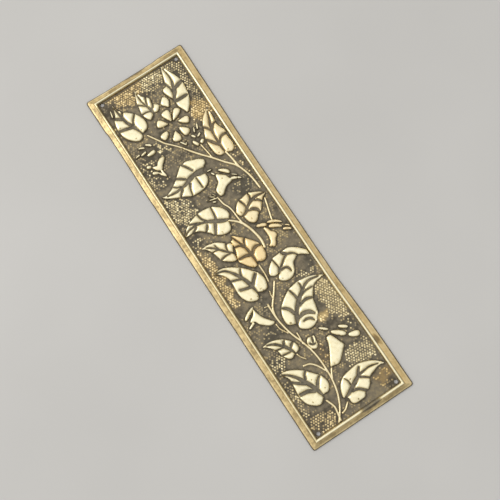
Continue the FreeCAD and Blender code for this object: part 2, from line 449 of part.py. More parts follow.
# Petals, tips and small pads. Each is a pillow about an axis: start x and y, end x and y,
# half width near the start, half width near the end, and how far its middle bows to the left.
PADS = {
    "rosette": [
        (3.4, 93.8, 2.6, 103.0, 0.8, 4.3, 0),
        (4.4, 93.6, 11.8, 99.8, 0.7, 3.5, 0),
        (7.0, 91.6, 14.4, 88.9, 1.0, 3.6, 0),
        (5.2, 87.8, 8.9, 80.6, 1.2, 3.8, 0),
        (1.9, 87.0, -0.6, 79.7, 1.1, 4.2, 0),
        (-2.4, 89.5, -8.6, 86.6, 1.6, 3.3, 0),
        (0.6, 93.4, -6.2, 98.0, 0.7, 4.0, 0),
    ],
    "low right bell": [
        (12.7, -81.0, 20.6, -87.8, 1.6, 2.1, 0),
        (18.6, -80.6, 24.0, -84.6, 1.2, 1.4, 0),
        (20.9, -88.9, 28.2, -92.0, 1.6, 2.6, 0),
        (7.4, -74.8, 12.6, -79.2, 0.9, 1.2, 0),
    ],
    "left bell": [
        (-29.1, -45.8, -19.8, -40.7, 1.5, 1.2, 0.4),
        (-29.8, -51.6, -24.6, -49.4, 0.9, 1.2, 0),
    ],
    "middle right bell": [
        (10.8, 2.5, 17.8, -0.4, 1.2, 1.7, 0.3),
        (18.0, 0.9, 26.9, -4.4, 1.2, 1.0, 0.9),
        (17.6, -1.9, 25.4, -6.8, 1.8, 1.2, 0.6),
        (24.4, -8.4, 29.6, -11.6, 1.2, 0.9, 0.4),
        (26.8, -6.8, 29.8, -9.4, 0.7, 0.7, 0.4),
    ],
    "high bell": [
        (10.7, 48.4, 16.8, 42.6, 1.1, 1.8, 0.6),
        (14.6, 39.0, 21.6, 34.9, 1.5, 0.6, 0.4),
        (16.4, 41.2, 20.2, 38.0, 0.6, 0.5, 0.2),
    ],
    "small left bell": [
        (-28.0, 76.0, -24.4, 74.6, 1.5, 1.2, 0),
        (-26.8, 70.6, -22.6, 68.4, 1.4, 1.0, 0),
        (-23.0, 68.6, -19.3, 63.4, 1.0, 0.9, 0),
        (-20.6, 69.4, -19.4, 63.8, 1.0, 0.6, 0),
    ],
    "left sprig": [
        (-25.8, 90.0, -21.4, 87.9, 0.8, 0.8, 0.3),
        (-20.6, 89.9, -16.7, 86.6, 0.9, 1.0, 0.4),
        (-23.2, 82.4, -16.5, 82.8, 1.2, 1.9, 0),
        (-30.6, 85.2, -26.6, 85.7, 0.6, 0.8, 0.3),
        (-26.6, 84.6, -22.0, 85.6, 0.8, 1.0, 0),
    ],
    "right sprig": [
        (9.9, 69.6, 7.5, 74.6, 1.4, 1.3, 0),
        (11.6, 70.0, 14.6, 72.2, 1.5, 1.3, 0),
        (11.0, 75.4, 8.9, 78.4, 0.9, 1.0, 0),
        (11.9, 75.0, 15.2, 76.8, 0.8, 0.9, 0),
        (11.9, 78.6, 13.4, 82.4, 0.8, 0.7, 0),
        (14.8, 79.4, 16.4, 83.6, 0.8, 0.9, 0),
    ],
    "calyx": [
        (0.1, 78.8, 3.2, 74.2, 0.7, 0.8, 0),
        (4.0, 77.4, 3.1, 74.6, 0.4, 0.5, 0),
        (0.8, 32.4, -6.4, 34.2, 0.7, 0.5, 0),
        (-0.4, 33.6, -4.6, 36.6, 0.6, 0.5, 0),
        (0.2, 34.0, -1.2, 36.8, 0.5, 0.5, 0),
        (-1.6, 30.6, -4.2, 32.0, 0.7, 0.7, 0),
        (4.0, 51.4, 8.0, 51.0, 0.7, 0.5, 0),
        (5.8, 49.4, 7.4, 46.6, 0.7, 0.8, 0),
    ],
    "stray sliver": [
        (-28.4, 117.6, -27.0, 124.0, 0.9, 0.4, 0),
        (-25.6, 109.6, -22.4, 106.6, 0.7, 0.6, 0),
    ],
}

# Each stem is a rib through its points; the last number is its share of the full width.
STEMS = {
    "main stem": (
        [(-14.5, -131.0), (-9.2, -124.0), (-5.2, -115.5), (-3.2, -106.0), (-2.7, -96.0),
         (-3.4, -86.5), (-5.6, -77.5), (-8.6, -69.0), (-10.4, -61.0), (-11.0, -54.0),
         (-9.3, -47.6), (-4.3, -41.3), (0.9, -34.3)], 1.0),
    "root left": ([(-13.0, -130.6), (-12.2, -126.0), (-11.6, -121.5), (-13.6, -115.8)], 1.0),
    "root right": ([(-9.6, -127.6), (-6.5, -126.6), (-3.2, -123.8)], 0.9),
    "low bell stem": ([(-2.7, -106.2), (-1.2, -103.0), (0.4, -100.6)], 0.9),
    "left twig": ([(-13.8, -89.8), (-9.5, -91.0), (-6.0, -95.0), (-3.1, -101.0)], 0.7),
    "small leaf stalk": ([(-13.0, -81.6), (-11.9, -84.2), (-9.8, -87.0)], 0.6),
    "left bell stalk": ([(-13.6, -58.4), (-13.0, -62.2), (-10.4, -66.6)], 0.6),
    "bud twig": ([(-5.5, -70.2), (-5.7, -74.0), (-6.2, -78.0)], 0.7),
    "double stem": ([(-11.0, -57.0), (-11.3, -51.0), (-10.9, -45.0)], 0.9),
    "front leaf stem": ([(-2.2, -32.0), (-1.5, -26.5), (-1.5, -20.0)], 0.7),
    "middle stem": ([(8.2, -12.0), (8.9, -7.0), (8.3, -1.5), (7.0, 4.0), (5.2, 8.6)], 1.3),
    "west leaf stem": ([(5.2, 8.3), (2.5, 12.2), (-1.4, 15.6)], 1.0),
    "high bell stem": (
        [(5.1, 8.6), (4.3, 14.0), (4.0, 19.5), (3.2, 23.5), (1.6, 27.0), (0.6, 33.0)], 0.9),
    "right bell stem": ([(22.0, 0.4), (24.4, 8.5), (26.4, 15.6)], 0.9),
    "high stem": (
        [(27.6, 23.0), (27.1, 31.0), (25.6, 38.0), (23.0, 44.5), (18.0, 50.5), (13.0, 57.0),
         (8.0, 63.0), (2.2, 70.5)], 1.0),
    "high right leaf stem": ([(24.0, 42.5), (23.2, 50.0), (22.2, 56.0)], 1.0),
    "top left leaf stem": ([(-8.5, 83.5), (-11.5, 88.5), (-15.2, 94.6)], 0.7),
    "sprig stem": ([(12.6, 58.0), (11.8, 64.0), (11.0, 69.5)], 0.7),
}

# The drawing above fills a field of this half width and half length.
DRAWN_HALF_WIDTH = 32.2
DRAWN_HALF_LENGTH = 132.5
border_across = size("side_band") + size("crest_land") + size("inner_band")
border_along = size("end_band") + size("crest_land") + size("inner_band")
stretch_x = (half_width - border_across) / DRAWN_HALF_WIDTH
stretch_y = (half_length - border_along) / DRAWN_HALF_LENGTH
field_height = size("sheet_thickness")

# Section of a raised form. Each line of its side is drawn in towards its spine to a share
# of the outline's distance and stands at a share of the form's height.
SHOULDER_SHARE = 0.86
SHOULDER_HEIGHT = 0.62
LEAF_CROWN_SHARE = 0.56
PAD_CROWN_SHARE = 0.4
# A groove flares by this much a side and runs from this share of the height, above the
# crown, down to this one.
GROOVE_FLARE = 0.5
GROOVE_TOP = 1.1
GROOVE_FLOOR = 0.45
# The hollow behind a leaf keeps this far in from the outline and reaches to the sheet's
# thickness below its grooves.
HOLLOW_INSET = 1.2
HOLLOW_CROWN_SHARE = 0.6
LEAST_KEPT = 0.3
BELOW_BACK = 0.1
# A pad this wide or wider stands at the full relief height; a small one is plainer, and
# only one wider than the last value is hollow behind.
FULL_HALF_WIDTH = 3.0
SMALL_HALF_WIDTH = 1.3
HOLLOW_HALF_WIDTH = 1.75
LOWEST_PAD = 0.45
PAD_CORNERS = 8
SMALL_PAD_CORNERS = 6
PAD_ROUNDNESS = 0.8
# Feet stand at slightly different depths inside the sheet, so no two share a plane.
FOOT_DEPTH = 0.2
FOOT_STEP = 0.003
# Outlines and ribs
CURVE_STEP = 3.8


def on_field(x, y, height):
    return Vector(x * stretch_x, y * stretch_y, height)


def curve_value(a, b, c, d, t):
    # Value between b and c on a smooth curve through all four.
    bend = (2 * a - 5 * b + 4 * c - d) * t * t + (3 * b - a - 3 * c + d) * t ** 3
    return 0.5 * (2 * b + (c - a) * t + bend)


def smooth_outline(points, step):
    # Corners about one step apart on the smooth closed curve through the points.
    outline = []
    for index in range(len(points)):
        around = [points[(index + shift) % len(points)] for shift in (-1, 0, 1, 2)]
        pieces = max(1, round(dist(around[1], around[2]) / step))
        for piece in range(pieces):
            x = curve_value(*[point[0] for point in around], piece / pieces)
            y = curve_value(*[point[1] for point in around], piece / pieces)
            outline.append((x, y))
    return outline


def pillow_outline(pad, corners):
    ax, ay, bx, by, wide_a, wide_b, bow = pad
    length = dist((ax, ay), (bx, by))
    along_x, along_y = (bx - ax) / length, (by - ay) / length
    outline = []
    for corner in range(corners):
        turn = 2 * pi * corner / corners
        u = copysign(abs(cos(turn)) ** PAD_ROUNDNESS, cos(turn))
        v = copysign(abs(sin(turn)) ** PAD_ROUNDNESS, sin(turn))
        half = (wide_a + wide_b) / 2 + (wide_b - wide_a) / 2 * u
        side = v * half + bow * (1 - u * u)
        x = (ax + bx) / 2 + along_x * u * length / 2 - along_y * side
        y = (ay + by) / 2 + along_y * u * length / 2 + along_x * side
        outline.append((x, y))
    return outline


def middle_of(outline):
    return sum(x for x, y in outline) / len(outline), sum(y for x, y in outline) / len(outline)


def nearest_on(spine, point):
    # Nearest place on a line of points; a spine can be one point alone.
    nearest = spine[0]
    for (ax, ay), (bx, by) in zip(spine, spine[1:]):
        run_x, run_y = bx - ax, by - ay
        share = ((point[0] - ax) * run_x + (point[1] - ay) * run_y) / (run_x ** 2 + run_y ** 2)
        share = min(1.0, max(0.0, share))
        place = (ax + share * run_x, ay + share * run_y)
        if dist(place, point) < dist(nearest, point):
            nearest = place
    return nearest


def drawn_in(outline, spine, share, inset):
    # The outline moved in by an inset and then to a share of its distance from the spine.
    ring = []
    for x, y in outline:
        root_x, root_y = nearest_on(spine, (x, y))
        reach = dist((root_x, root_y), (x, y))
        kept = share * max(reach - inset, LEAST_KEPT * reach) / reach
        ring.append((root_x + (x - root_x) * kept, root_y + (y - root_y) * kept))
    return ring


def flat_face(corners):
    return Part.Face(Part.makePolygon(corners + corners[:1]))


def closed_solid(faces):
    shell = Part.Shell(faces)
    shell.sewShape()
    solid = Part.Solid(shell)
    if solid.Orientation == "Reversed":
        shell.reverse()
        solid = Part.Solid(shell)
    return solid


def ringed_solid(rings, heights):
    # Solid through level rings of as many points; triangles keep every side face flat.
    levels = []
    for ring, height in zip(rings, heights):
        levels.append([on_field(x, y, height) for x, y in ring])
    faces = [flat_face(levels[0]), flat_face(levels[-1])]
    for low, high in zip(levels, levels[1:]):
        for index in range(len(low)):
            faces.append(flat_face([low[index - 1], low[index], high[index - 1]]))
            faces.append(flat_face([low[index], high[index], high[index - 1]]))
    return closed_solid(faces)


def ridged_solid(points, edge_height, ridge_height):
    # Rib or groove through points x, y and half width, with a ridge or floor line between.
    left, right, ridge = [], [], []
    for index, (x, y, half) in enumerate(points):
        before = points[max(index - 1, 0)]
        after = points[min(index + 1, len(points) - 1)]
        span = dist(before[:2], after[:2])
        side_x = -(after[1] - before[1]) / span * half
        side_y = (after[0] - before[0]) / span * half
        left.append(on_field(x + side_x, y + side_y, edge_height))
        right.append(on_field(x - side_x, y - side_y, edge_height))
        ridge.append(on_field(x, y, ridge_height))
    faces = [flat_face(left + right[::-1])]
    faces.append(flat_face([left[0], right[0], ridge[0]]))
    faces.append(flat_face([left[-1], right[-1], ridge[-1]]))
    for index in range(len(points) - 1):
        for edge in (left, right):
            faces.append(flat_face([edge[index], edge[index + 1], ridge[index]]))
            faces.append(flat_face([edge[index + 1], ridge[index + 1], ridge[index]]))
    return closed_solid(faces)


def raised_solid(outline, spine, levels):
    # Solid through the outline drawn in to each share at each height above the field.
    rings = [drawn_in(outline, spine, share, 0.0) for share, height in levels]
    return ringed_solid(rings, [field_height + height for share, height in levels])


def hollow_solid(outline, spine, depth):
    rings = [drawn_in(outline, spine, share, HOLLOW_INSET) for share in (1.0, 1.0, HOLLOW_CROWN_SHARE)]
    return ringed_solid(rings, (-BELOW_BACK, 0.0, depth))


def leaf_front(outline, spine, veins, sunk):
    rise = size("relief_height")
    shoulder = (SHOULDER_SHARE, SHOULDER_HEIGHT * rise)
    levels = [(1.0, -sunk), (1.0, 0.0), shoulder, (LEAF_CROWN_SHARE, rise)]
    leaf = raised_solid(outline, spine, levels)
    groove_top = field_height + GROOVE_TOP * rise
    groove_floor = field_height + GROOVE_FLOOR * rise
    for vein in veins:
        # Every other point is enough for a groove with few facets.
        groove = [(x, y, half + GROOVE_FLARE) for x, y, half in vein[:-1:2] + vein[-1:]]
        leaf = leaf.cut(ridged_solid(groove, groove_top, groove_floor))
    return leaf


def leaf_back(points, spine):
    # Behind, every other point of the outline is enough.
    return hollow_solid(points[::2], spine, GROOVE_FLOOR * size("relief_height"))


def mean_half_width(pad):
    return (pad[4] + pad[5]) / 2


def pad_rise(pad):
    fullness = min(1.0, mean_half_width(pad) / FULL_HALF_WIDTH)
    return size("relief_height") * (LOWEST_PAD + (1 - LOWEST_PAD) * fullness)


def pad_front(pad, sunk):
    # A small pad has one slope; a larger one has a shoulder as well.
    small = mean_half_width(pad) < SMALL_HALF_WIDTH
    rise = pad_rise(pad)
    outline = pillow_outline(pad, SMALL_PAD_CORNERS if small else PAD_CORNERS)
    levels = [(1.0, -sunk), (1.0, 0.0), (PAD_CROWN_SHARE, rise)]
    if not small:
        levels.insert(2, (SHOULDER_SHARE, SHOULDER_HEIGHT * rise))
    return raised_solid(outline, [middle_of(outline)], levels)


def pad_back(pad):
    outline = pillow_outline(pad, SMALL_PAD_CORNERS)
    return hollow_solid(outline, [middle_of(outline)], pad_rise(pad))


def foot_depth(number):
    return field_height * (FOOT_DEPTH + FOOT_STEP * number)


raised = []
hollowed = []
for points, veins in LEAVES.values():
    midrib = [vein_point[:2] for vein_point in veins[0][1:-1]]
    raised.append(leaf_front(smooth_outline(points, CURVE_STEP), midrib, veins, foot_depth(len(raised))))
    hollowed.append(leaf_back(points, midrib))
for points, veins in FLOWERS.values():
    middle = [middle_of(points)]
    raised.append(leaf_front(smooth_outline(points, CURVE_STEP), middle, veins, foot_depth(len(raised))))
    hollowed.append(leaf_back(points, middle))
for pads in PADS.values():
    for pad in pads:
        raised.append(pad_front(pad, foot_depth(len(raised))))
        if mean_half_width(pad) > HOLLOW_HALF_WIDTH:
            hollowed.append(pad_back(pad))
for points, share in STEMS.values():
    half_stem = size("stem_width") / 2 * share
    rib = [(x, y, half_stem) for x, y in points]
    foot = field_height - foot_depth(len(raised))
    raised.append(ridged_solid(rib, foot, field_height + size("stem_height")))

foliage = doc.addObject("Part::Feature", "foliage")
foliage.Shape = raised[0].multiFuse(raised[1:])
hollows = doc.addObject("Part::Feature", "foliage_hollows")
hollows.Shape = hollowed[0].multiFuse(hollowed[1:])

raised_plate = doc.addObject("Part::Fuse", "raised_plate")
raised_plate.Base = body
raised_plate.Tool = foliage
raised_plate.Refine = False
finger_plate = doc.addObject("Part::Cut", "finger_plate")
finger_plate.Base = raised_plate
finger_plate.Tool = hollows
finger_plate.Refine = False
doc.recompute()

# Checks and files
for item in doc.Objects:
    if "Invalid" in item.State or "Error" in item.State:
        raise RuntimeError("failed: " + item.Name)
shape = finger_plate.Shape
if shape.isNull() or not shape.isValid():
    raise RuntimeError("finger_plate has no valid shape")
if len(shape.Solids) != 1:
    raise RuntimeError("finger_plate has %d solids" % len(shape.Solids))
finger_plate.Label = "finger_plate"
os.makedirs("parts", exist_ok=True)
shape.exportStep("parts/finger_plate.step")
print("volume", round(shape.Volume, 1), "box", shape.BoundBox)
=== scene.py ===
import math
import random

import bpy
import numpy as np
from mathutils import Matrix, Vector
from mathutils.geometry import delaunay_2d_cdt


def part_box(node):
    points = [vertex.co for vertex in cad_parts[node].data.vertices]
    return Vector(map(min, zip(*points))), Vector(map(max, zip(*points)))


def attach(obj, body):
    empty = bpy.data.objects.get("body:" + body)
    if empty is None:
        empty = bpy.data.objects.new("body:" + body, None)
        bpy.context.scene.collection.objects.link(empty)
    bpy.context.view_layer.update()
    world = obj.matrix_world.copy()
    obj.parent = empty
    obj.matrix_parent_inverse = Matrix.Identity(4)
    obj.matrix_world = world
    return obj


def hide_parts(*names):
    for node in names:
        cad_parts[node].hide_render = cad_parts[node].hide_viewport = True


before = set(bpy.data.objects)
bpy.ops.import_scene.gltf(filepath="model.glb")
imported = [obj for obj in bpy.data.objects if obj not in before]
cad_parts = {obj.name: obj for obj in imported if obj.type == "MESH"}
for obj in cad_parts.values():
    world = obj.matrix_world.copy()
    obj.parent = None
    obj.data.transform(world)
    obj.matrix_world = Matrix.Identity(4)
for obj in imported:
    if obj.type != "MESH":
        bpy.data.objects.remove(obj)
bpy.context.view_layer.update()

NODE = "finger_plate"
low_corner, high_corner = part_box(NODE)
HALF_WIDTH = 500 * (high_corner[0] - low_corner[0])
HALF_LENGTH = 500 * (high_corner[1] - low_corner[1])
TOP = 1000 * (high_corner[2] - low_corner[2])

# Section of the sheet
SHEET = 0.7
CORNER_RADIUS = 1.5
HOLE_RADIUS = 1.3
HOLE_FROM_SIDE = 8.5
HOLE_FROM_END = 7.5
# Painted shade: each hole's wall, and the plate this far round it, are dark
HOLE_SHADE_RIM = 0.15

# Raised forms: height, reach of the steep edge and of the dome, and the dome's share of the height
RELIEF = 2.05
EDGE_REACH = 1.25
DOME_REACH = 4.0
DOME_SHARE = 0.24
# A form already has the rise of this depth at its outline, and of the second beside a groove.
FULLNESS = 0.24
VEIN_FULLNESS = 0.13
# Rise of a groove's floor, away from the outline
VEIN_FLOOR = 0.6
# Hollows behind the forms: depth, and how far inside the outline they begin
HOLLOW_DEPTH = 0.75
HOLLOW_INSET = 0.7
# Stems: height of the rib and its full width
STEM_HEIGHT = 0.95
STEM_WIDTH = 1.7

# A line of the border is given by its distance in from the edge on a plain section with its
# crest and inner foot here. On each side of the plate they lie at distances of their own.
CREST = 3.65
FOOT = 5.8
SIDES = {"left": (4.8, 6.3), "right": (5.45, 6.9), "bottom": (4.1, 5.9), "top": (4.75, 6.0)}
FIELD_LOW = np.array((SIDES["left"][1] - HALF_WIDTH, SIDES["bottom"][1] - HALF_LENGTH))
FIELD_HIGH = np.array((HALF_WIDTH - SIDES["right"][1], HALF_LENGTH - SIDES["top"][1]))

# How far the right side is drawn in at its outer edge, and at its crest and foot
SIDE_BOW = 1.7
INNER_BOW = 0.94
# Dents of the outer edge: depth, then where each begins, is deepest from, is deepest to and ends
TOP_DENT = (0.45, -36.0, -20.0, 15.5, 18.0)
LEFT_DENT = (0.5, 55.0, 95.0, 109.0, 113.0)
# Unevenness of the border's lines from the edge to the start of the bead, and from there inwards
OUTER_WOBBLE = 0.16
INNER_WOBBLE = 0.12
BEAD_START = 3.3
# Only points past this share of the plate's half sizes are drawn in unevenly.
WOBBLE_ZONE = 0.86
# Share of its distance from the edge by which a line's corner radius is smaller
ROUNDING_LOSS = 0.5
# Step between the points of a border line
BORDER_STEP = 1.8
# Unevenness of the border's polish, and the polish at its inner foot
BORDER_WEAR = 0.07
FOOT_POLISH = 0.16

# Foliage
# Each leaf is an outline that a smooth closed curve passes through, and its veins:
# chased grooves through points x, y with the groove's half width at each. The first is
# the midrib.
LEAVES = {
    "low left leaf": (
        [(-29.9, -86.0), (-25.0, -86.1), (-20.0, -88.3), (-15.5, -91.6), (-11.0, -96.6),
         (-7.8, -100.6), (-6.2, -104.8), (-6.6, -108.6), (-9.4, -111.7), (-12.8, -111.6),
         (-14.4, -113.6), (-17.6, -115.9), (-20.8, -115.2), (-25.0, -111.6), (-26.9, -106.4),
         (-26.9, -101.0), (-26.3, -96.6), (-26.0, -92.0), (-28.0, -88.6)],
        [[(-13.6, -112.6, 0.4), (-14.5, -108.3, 1.0), (-16.0, -104.0, 1.2), (-18.6, -98.5, 1.2),
          (-21.6, -93.4, 0.8), (-25.0, -89.6, 0.5), (-28.4, -87.0, 0.25)],
         [(-17.4, -97.6, 0.7), (-16.2, -94.6, 0.6), (-14.2, -92.8, 0.4)],
         [(-14.4, -106.3, 1.0), (-11.5, -102.6, 0.8), (-9.0, -100.5, 0.6)],
         [(-19.0, -99.6, 0.9), (-22.4, -97.3, 0.8), (-25.6, -94.6, 0.6)],
         [(-16.6, -106.6, 1.1), (-20.4, -104.6, 1.1), (-25.6, -103.9, 1.0)]]),
    "low right leaf": (
        [(30.5, -116.4), (26.0, -111.4), (21.0, -108.7), (15.0, -107.1), (9.0, -107.6),
         (4.0, -108.6), (0.0, -111.0), (-2.9, -115.4), (-4.1, -120.0), (-2.4, -120.8),
         (-1.4, -122.6), (-1.3, -125.6), (0.8, -127.3), (4.5, -127.6), (8.3, -127.2), (9.9, -125.0),
         (12.4, -124.4), (15.6, -122.0), (17.6, -118.6), (22.0, -117.0), (26.5, -115.7)],
        [[(-2.6, -121.0, 0.5), (2.4, -118.9, 1.0), (7.0, -116.4, 1.2), (12.0, -113.9, 0.9),
          (16.5, -113.2, 0.5), (21.0, -112.9, 0.35), (26.6, -114.3, 0.25)],
         [(12.4, -112.9, 0.9), (13.8, -111.0, 0.7), (15.2, -109.4, 0.5)],
         [(4.6, -115.8, 0.4), (4.5, -113.0, 0.3), (3.4, -110.7, 0.15)],
         [(12.6, -115.2, 0.7), (14.9, -116.9, 0.5), (17.3, -118.8, 0.4)],
         [(3.6, -119.7, 0.8), (7.6, -121.0, 0.7), (11.2, -124.6, 0.8)]]),
    "small left leaf": (
        [(-29.2, -65.7), (-25.5, -65.0), (-21.5, -65.5), (-17.5, -66.9), (-14.0, -69.4),
         (-11.2, -72.4), (-9.5, -75.6), (-9.6, -78.8), (-11.4, -80.2), (-13.7, -80.4),
         (-16.4, -82.0), (-19.0, -81.3), (-20.8, -78.8), (-22.0, -76.2), (-22.4, -73.2),
         (-24.6, -70.2), (-27.0, -67.4)],
        [[(-13.4, -80.6, 0.3), (-14.4, -77.6, 0.6), (-16.2, -74.2, 0.9), (-18.8, -71.0, 0.7),
          (-22.0, -68.0, 0.6), (-26.0, -66.3, 0.3)],
         [(-16.6, -72.0, 0.6), (-16.2, -70.6, 0.7), (-15.4, -69.6, 0.4)],
         [(-14.2, -75.8, 0.5), (-12.8, -74.4, 0.7), (-11.2, -73.5, 0.5)],
         [(-17.6, -73.0, 0.4), (-20.2, -72.7, 0.35), (-22.6, -72.3, 0.4)],
         [(-15.4, -77.9, 0.4), (-18.2, -77.5, 0.35), (-21.0, -77.2, 0.4)]]),
    "great right leaf": (
        [(30.6, -48.6), (26.0, -45.6), (21.5, -43.8), (17.0, -42.7), (12.0, -42.4), (6.5, -43.3),
         (2.0, -45.3), (-2.0, -48.0), (-5.4, -51.4), (-7.4, -55.0), (-8.2, -59.0), (-7.6, -62.6),
         (-5.0, -64.4), (-2.2, -65.2), (-2.6, -68.2), (-0.6, -70.6), (3.0, -72.4), (7.0, -72.2),
         (10.6, -70.0), (13.2, -66.4), (14.8, -61.6), (15.6, -57.6), (18.0, -54.0), (20.4, -50.8),
         (24.0, -49.3), (27.5, -48.7)],
        [[(-2.4, -65.6, 0.5), (-0.3, -62.6, 1.2), (1.8, -58.9, 1.2), (5.2, -55.0, 1.2),
          (9.0, -51.8, 1.1), (13.0, -48.9, 0.8), (16.5, -46.8, 0.7), (20.5, -45.9, 0.6),
          (26.4, -47.0, 0.35)],
         [(0.2, -59.0, 0.9), (-0.8, -55.6, 1.0), (-2.6, -53.2, 0.8), (-4.6, -51.9, 0.45)],
         [(7.2, -52.0, 0.8), (6.6, -48.6, 0.6), (5.7, -44.9, 0.35)],
         [(12.4, -49.0, 0.7), (13.4, -46.6, 0.5), (13.3, -43.9, 0.3)],
         [(10.8, -51.2, 0.6), (14.4, -50.3, 0.45), (19.4, -50.6, 0.4)],
         [(5.6, -56.2, 0.9), (10.0, -55.2, 0.75), (12.6, -55.3, 0.8), (15.4, -56.4, 0.5)],
         [(0.6, -62.6, 1.0), (5.0, -61.9, 1.1), (8.6, -63.0, 1.2), (11.2, -65.8, 0.6)],
         [(2.4, -66.2, 0.3), (4.8, -66.0, 0.6), (7.4, -67.2, 0.7), (8.6, -69.4, 0.25)]]),
    "middle left leaf": (
        [(-29.8, -9.3), (-26.5, -8.3), (-22.5, -8.6), (-18.0, -10.5), (-14.0, -13.3),
         (-10.3, -16.6), (-7.2, -20.2), (-4.6, -23.8), (-3.2, -27.6), (-3.3, -31.4), (-4.6, -34.8),
         (-6.8, -36.0), (-9.8, -35.6), (-12.0, -34.6), (-12.6, -37.0), (-14.2, -38.7),
         (-16.6, -38.4), (-20.2, -36.5), (-22.5, -33.0), (-23.4, -29.0), (-23.3, -24.5),
         (-22.9, -20.0), (-22.9, -17.6), (-24.5, -14.2), (-26.8, -11.2)],
        [[(-12.1, -35.2, 0.3), (-12.6, -31.0, 0.7), (-13.2, -27.2, 1.2), (-14.8, -22.4, 0.9),
          (-16.8, -18.2, 0.9), (-19.2, -14.4, 0.6), (-22.4, -11.0, 0.45), (-25.5, -9.9, 0.4),
          (-28.4, -9.4, 0.3)],
         [(-12.0, -28.4, 1.0), (-9.2, -25.6, 0.9), (-6.5, -23.3, 0.8)],
         [(-15.2, -19.8, 0.7), (-14.4, -17.4, 0.5), (-13.1, -15.3, 0.35)],
         [(-15.6, -21.6, 0.6), (-18.6, -20.3, 0.5), (-22.4, -19.2, 0.55)],
         [(-13.6, -29.2, 0.9), (-17.0, -28.3, 0.75), (-20.6, -27.2, 0.75)]]),
    "hidden leaf": (
        [(-27.2, 9.3), (-23.5, 9.8), (-19.5, 9.3), (-16.0, 7.9), (-13.0, 5.6), (-11.2, 3.6),
         (-9.2, 2.8), (-8.4, 0.4), (-9.6, -1.9), (-10.8, -4.0), (-10.8, -6.6), (-11.4, -9.2),
         (-13.8, -9.2), (-17.0, -7.2), (-20.0, -4.6), (-21.2, -1.4), (-22.2, 2.4), (-23.4, 5.2),
         (-25.2, 7.6)],
        [[(-10.9, -4.0, 0.4), (-13.4, -1.9, 0.5), (-15.8, 0.8, 0.5), (-18.4, 3.8, 0.5),
          (-21.0, 6.3, 0.45), (-23.8, 8.2, 0.25)],
         [(-13.2, -1.8, 0.3), (-13.2, 0.6, 0.35), (-12.4, 2.8, 0.35), (-11.2, 4.0, 0.3)],
         [(-17.0, 2.6, 0.3), (-18.2, 5.0, 0.35), (-18.5, 6.8, 0.3)],
         [(-18.6, 3.1, 0.3), (-20.2, 3.5, 0.25), (-22.4, 3.4, 0.25)],
         [(-13.0, -3.2, 0.4), (-16.4, -3.0, 0.4), (-20.2, -3.8, 0.5)]]),
    "front leaf": (
        [(-6.1, 6.2), (-3.2, 4.1), (0.2, 0.9), (3.0, -2.2), (5.4, -5.4), (7.0, -9.0), (7.3, -12.8),
         (6.6, -16.6), (4.6, -18.8), (1.4, -19.0), (-0.8, -17.6), (-2.2, -19.6), (-4.6, -19.9),
         (-7.4, -17.4), (-9.9, -13.9), (-11.5, -11.0), (-10.8, -7.6), (-9.6, -4.4), (-8.5, -1.0),
         (-8.6, 3.4), (-7.2, 3.6)],
        [[(-1.6, -18.6, 0.3), (-1.6, -14.0, 0.6), (-1.8, -10.0, 0.8), (-2.6, -5.4, 0.6),
          (-4.0, -1.0, 0.45), (-5.4, 2.6, 0.35), (-6.2, 5.2, 0.2)],
         [(-2.4, -11.4, 0.9), (-5.4, -10.2, 0.8), (-9.6, -9.9, 0.6)],
         [(-1.2, -11.4, 0.9), (1.4, -9.2, 0.9), (4.0, -8.4, 0.8), (6.6, -9.2, 0.5)],
         [(-3.2, -4.6, 0.5), (-5.0, -2.4, 0.45), (-8.4, -1.6, 0.35)],
         [(-2.4, -4.4, 0.5), (-1.4, -1.8, 0.5), (0.2, 0.2, 0.35)]]),
    "curled leaf": (
        [(0.4, -29.6), (1.4, -26.4), (4.0, -23.7), (7.0, -21.8), (8.2, -20.7), (13.9, -20.3),
         (16.4, -20.4), (20.0, -20.1), (24.4, -22.5), (28.2, -26.2), (30.0, -29.0), (29.6, -32.0),
         (26.0, -29.6), (22.8, -28.2), (20.6, -29.6), (18.4, -30.8), (17.2, -33.4), (15.6, -36.2),
         (12.8, -38.3), (9.0, -38.7), (6.0, -37.6), (3.9, -35.2), (4.8, -33.0), (6.6, -31.4),
         (4.2, -31.9), (2.4, -31.6)],
        [[(8.2, -29.8, 0.6), (11.4, -27.6, 0.45), (14.4, -25.2, 0.5), (17.4, -24.0, 0.6),
          (21.2, -25.4, 0.45), (23.4, -28.6, 0.35)],
         [(7.0, -31.2, 0.7), (8.2, -28.6, 0.35), (7.9, -25.0, 0.3), (7.3, -21.4, 0.3)],
         [(14.9, -20.2, 0.5), (15.6, -22.2, 0.9), (17.6, -23.6, 0.6)],
         [(8.6, -30.6, 0.6), (11.8, -30.6, 0.5), (13.6, -32.2, 0.6), (13.9, -34.8, 0.25)]]),
    "west leaf": (
        [(-32.0, 21.6), (-29.5, 24.8), (-26.4, 27.6), (-22.6, 29.4), (-18.0, 30.8), (-13.0, 31.2),
         (-8.6, 30.6), (-4.6, 29.0), (-1.4, 26.2), (0.7, 22.6), (1.2, 19.4), (-0.4, 17.0),
         (-1.9, 15.4), (-2.3, 12.4), (-3.6, 9.8), (-6.4, 8.9), (-10.0, 9.6), (-13.4, 11.4),
         (-15.0, 13.0), (-17.4, 16.0), (-19.6, 18.2), (-22.4, 20.4), (-26.5, 21.3)],
        [[(-1.2, 16.2, 0.6), (-5.0, 17.8, 1.1), (-9.0, 20.0, 1.2), (-13.0, 22.3, 0.9),
          (-16.5, 23.7, 0.6), (-20.5, 24.9, 0.7), (-24.0, 24.7, 0.5), (-27.5, 24.3, 0.4),
          (-30.5, 22.6, 0.25)],
         [(-8.4, 20.8, 0.7), (-7.6, 24.0, 0.5), (-7.0, 29.4, 0.3)],
         [(-14.4, 23.4, 0.8), (-16.2, 26.4, 0.5), (-17.0, 30.4, 0.35)],
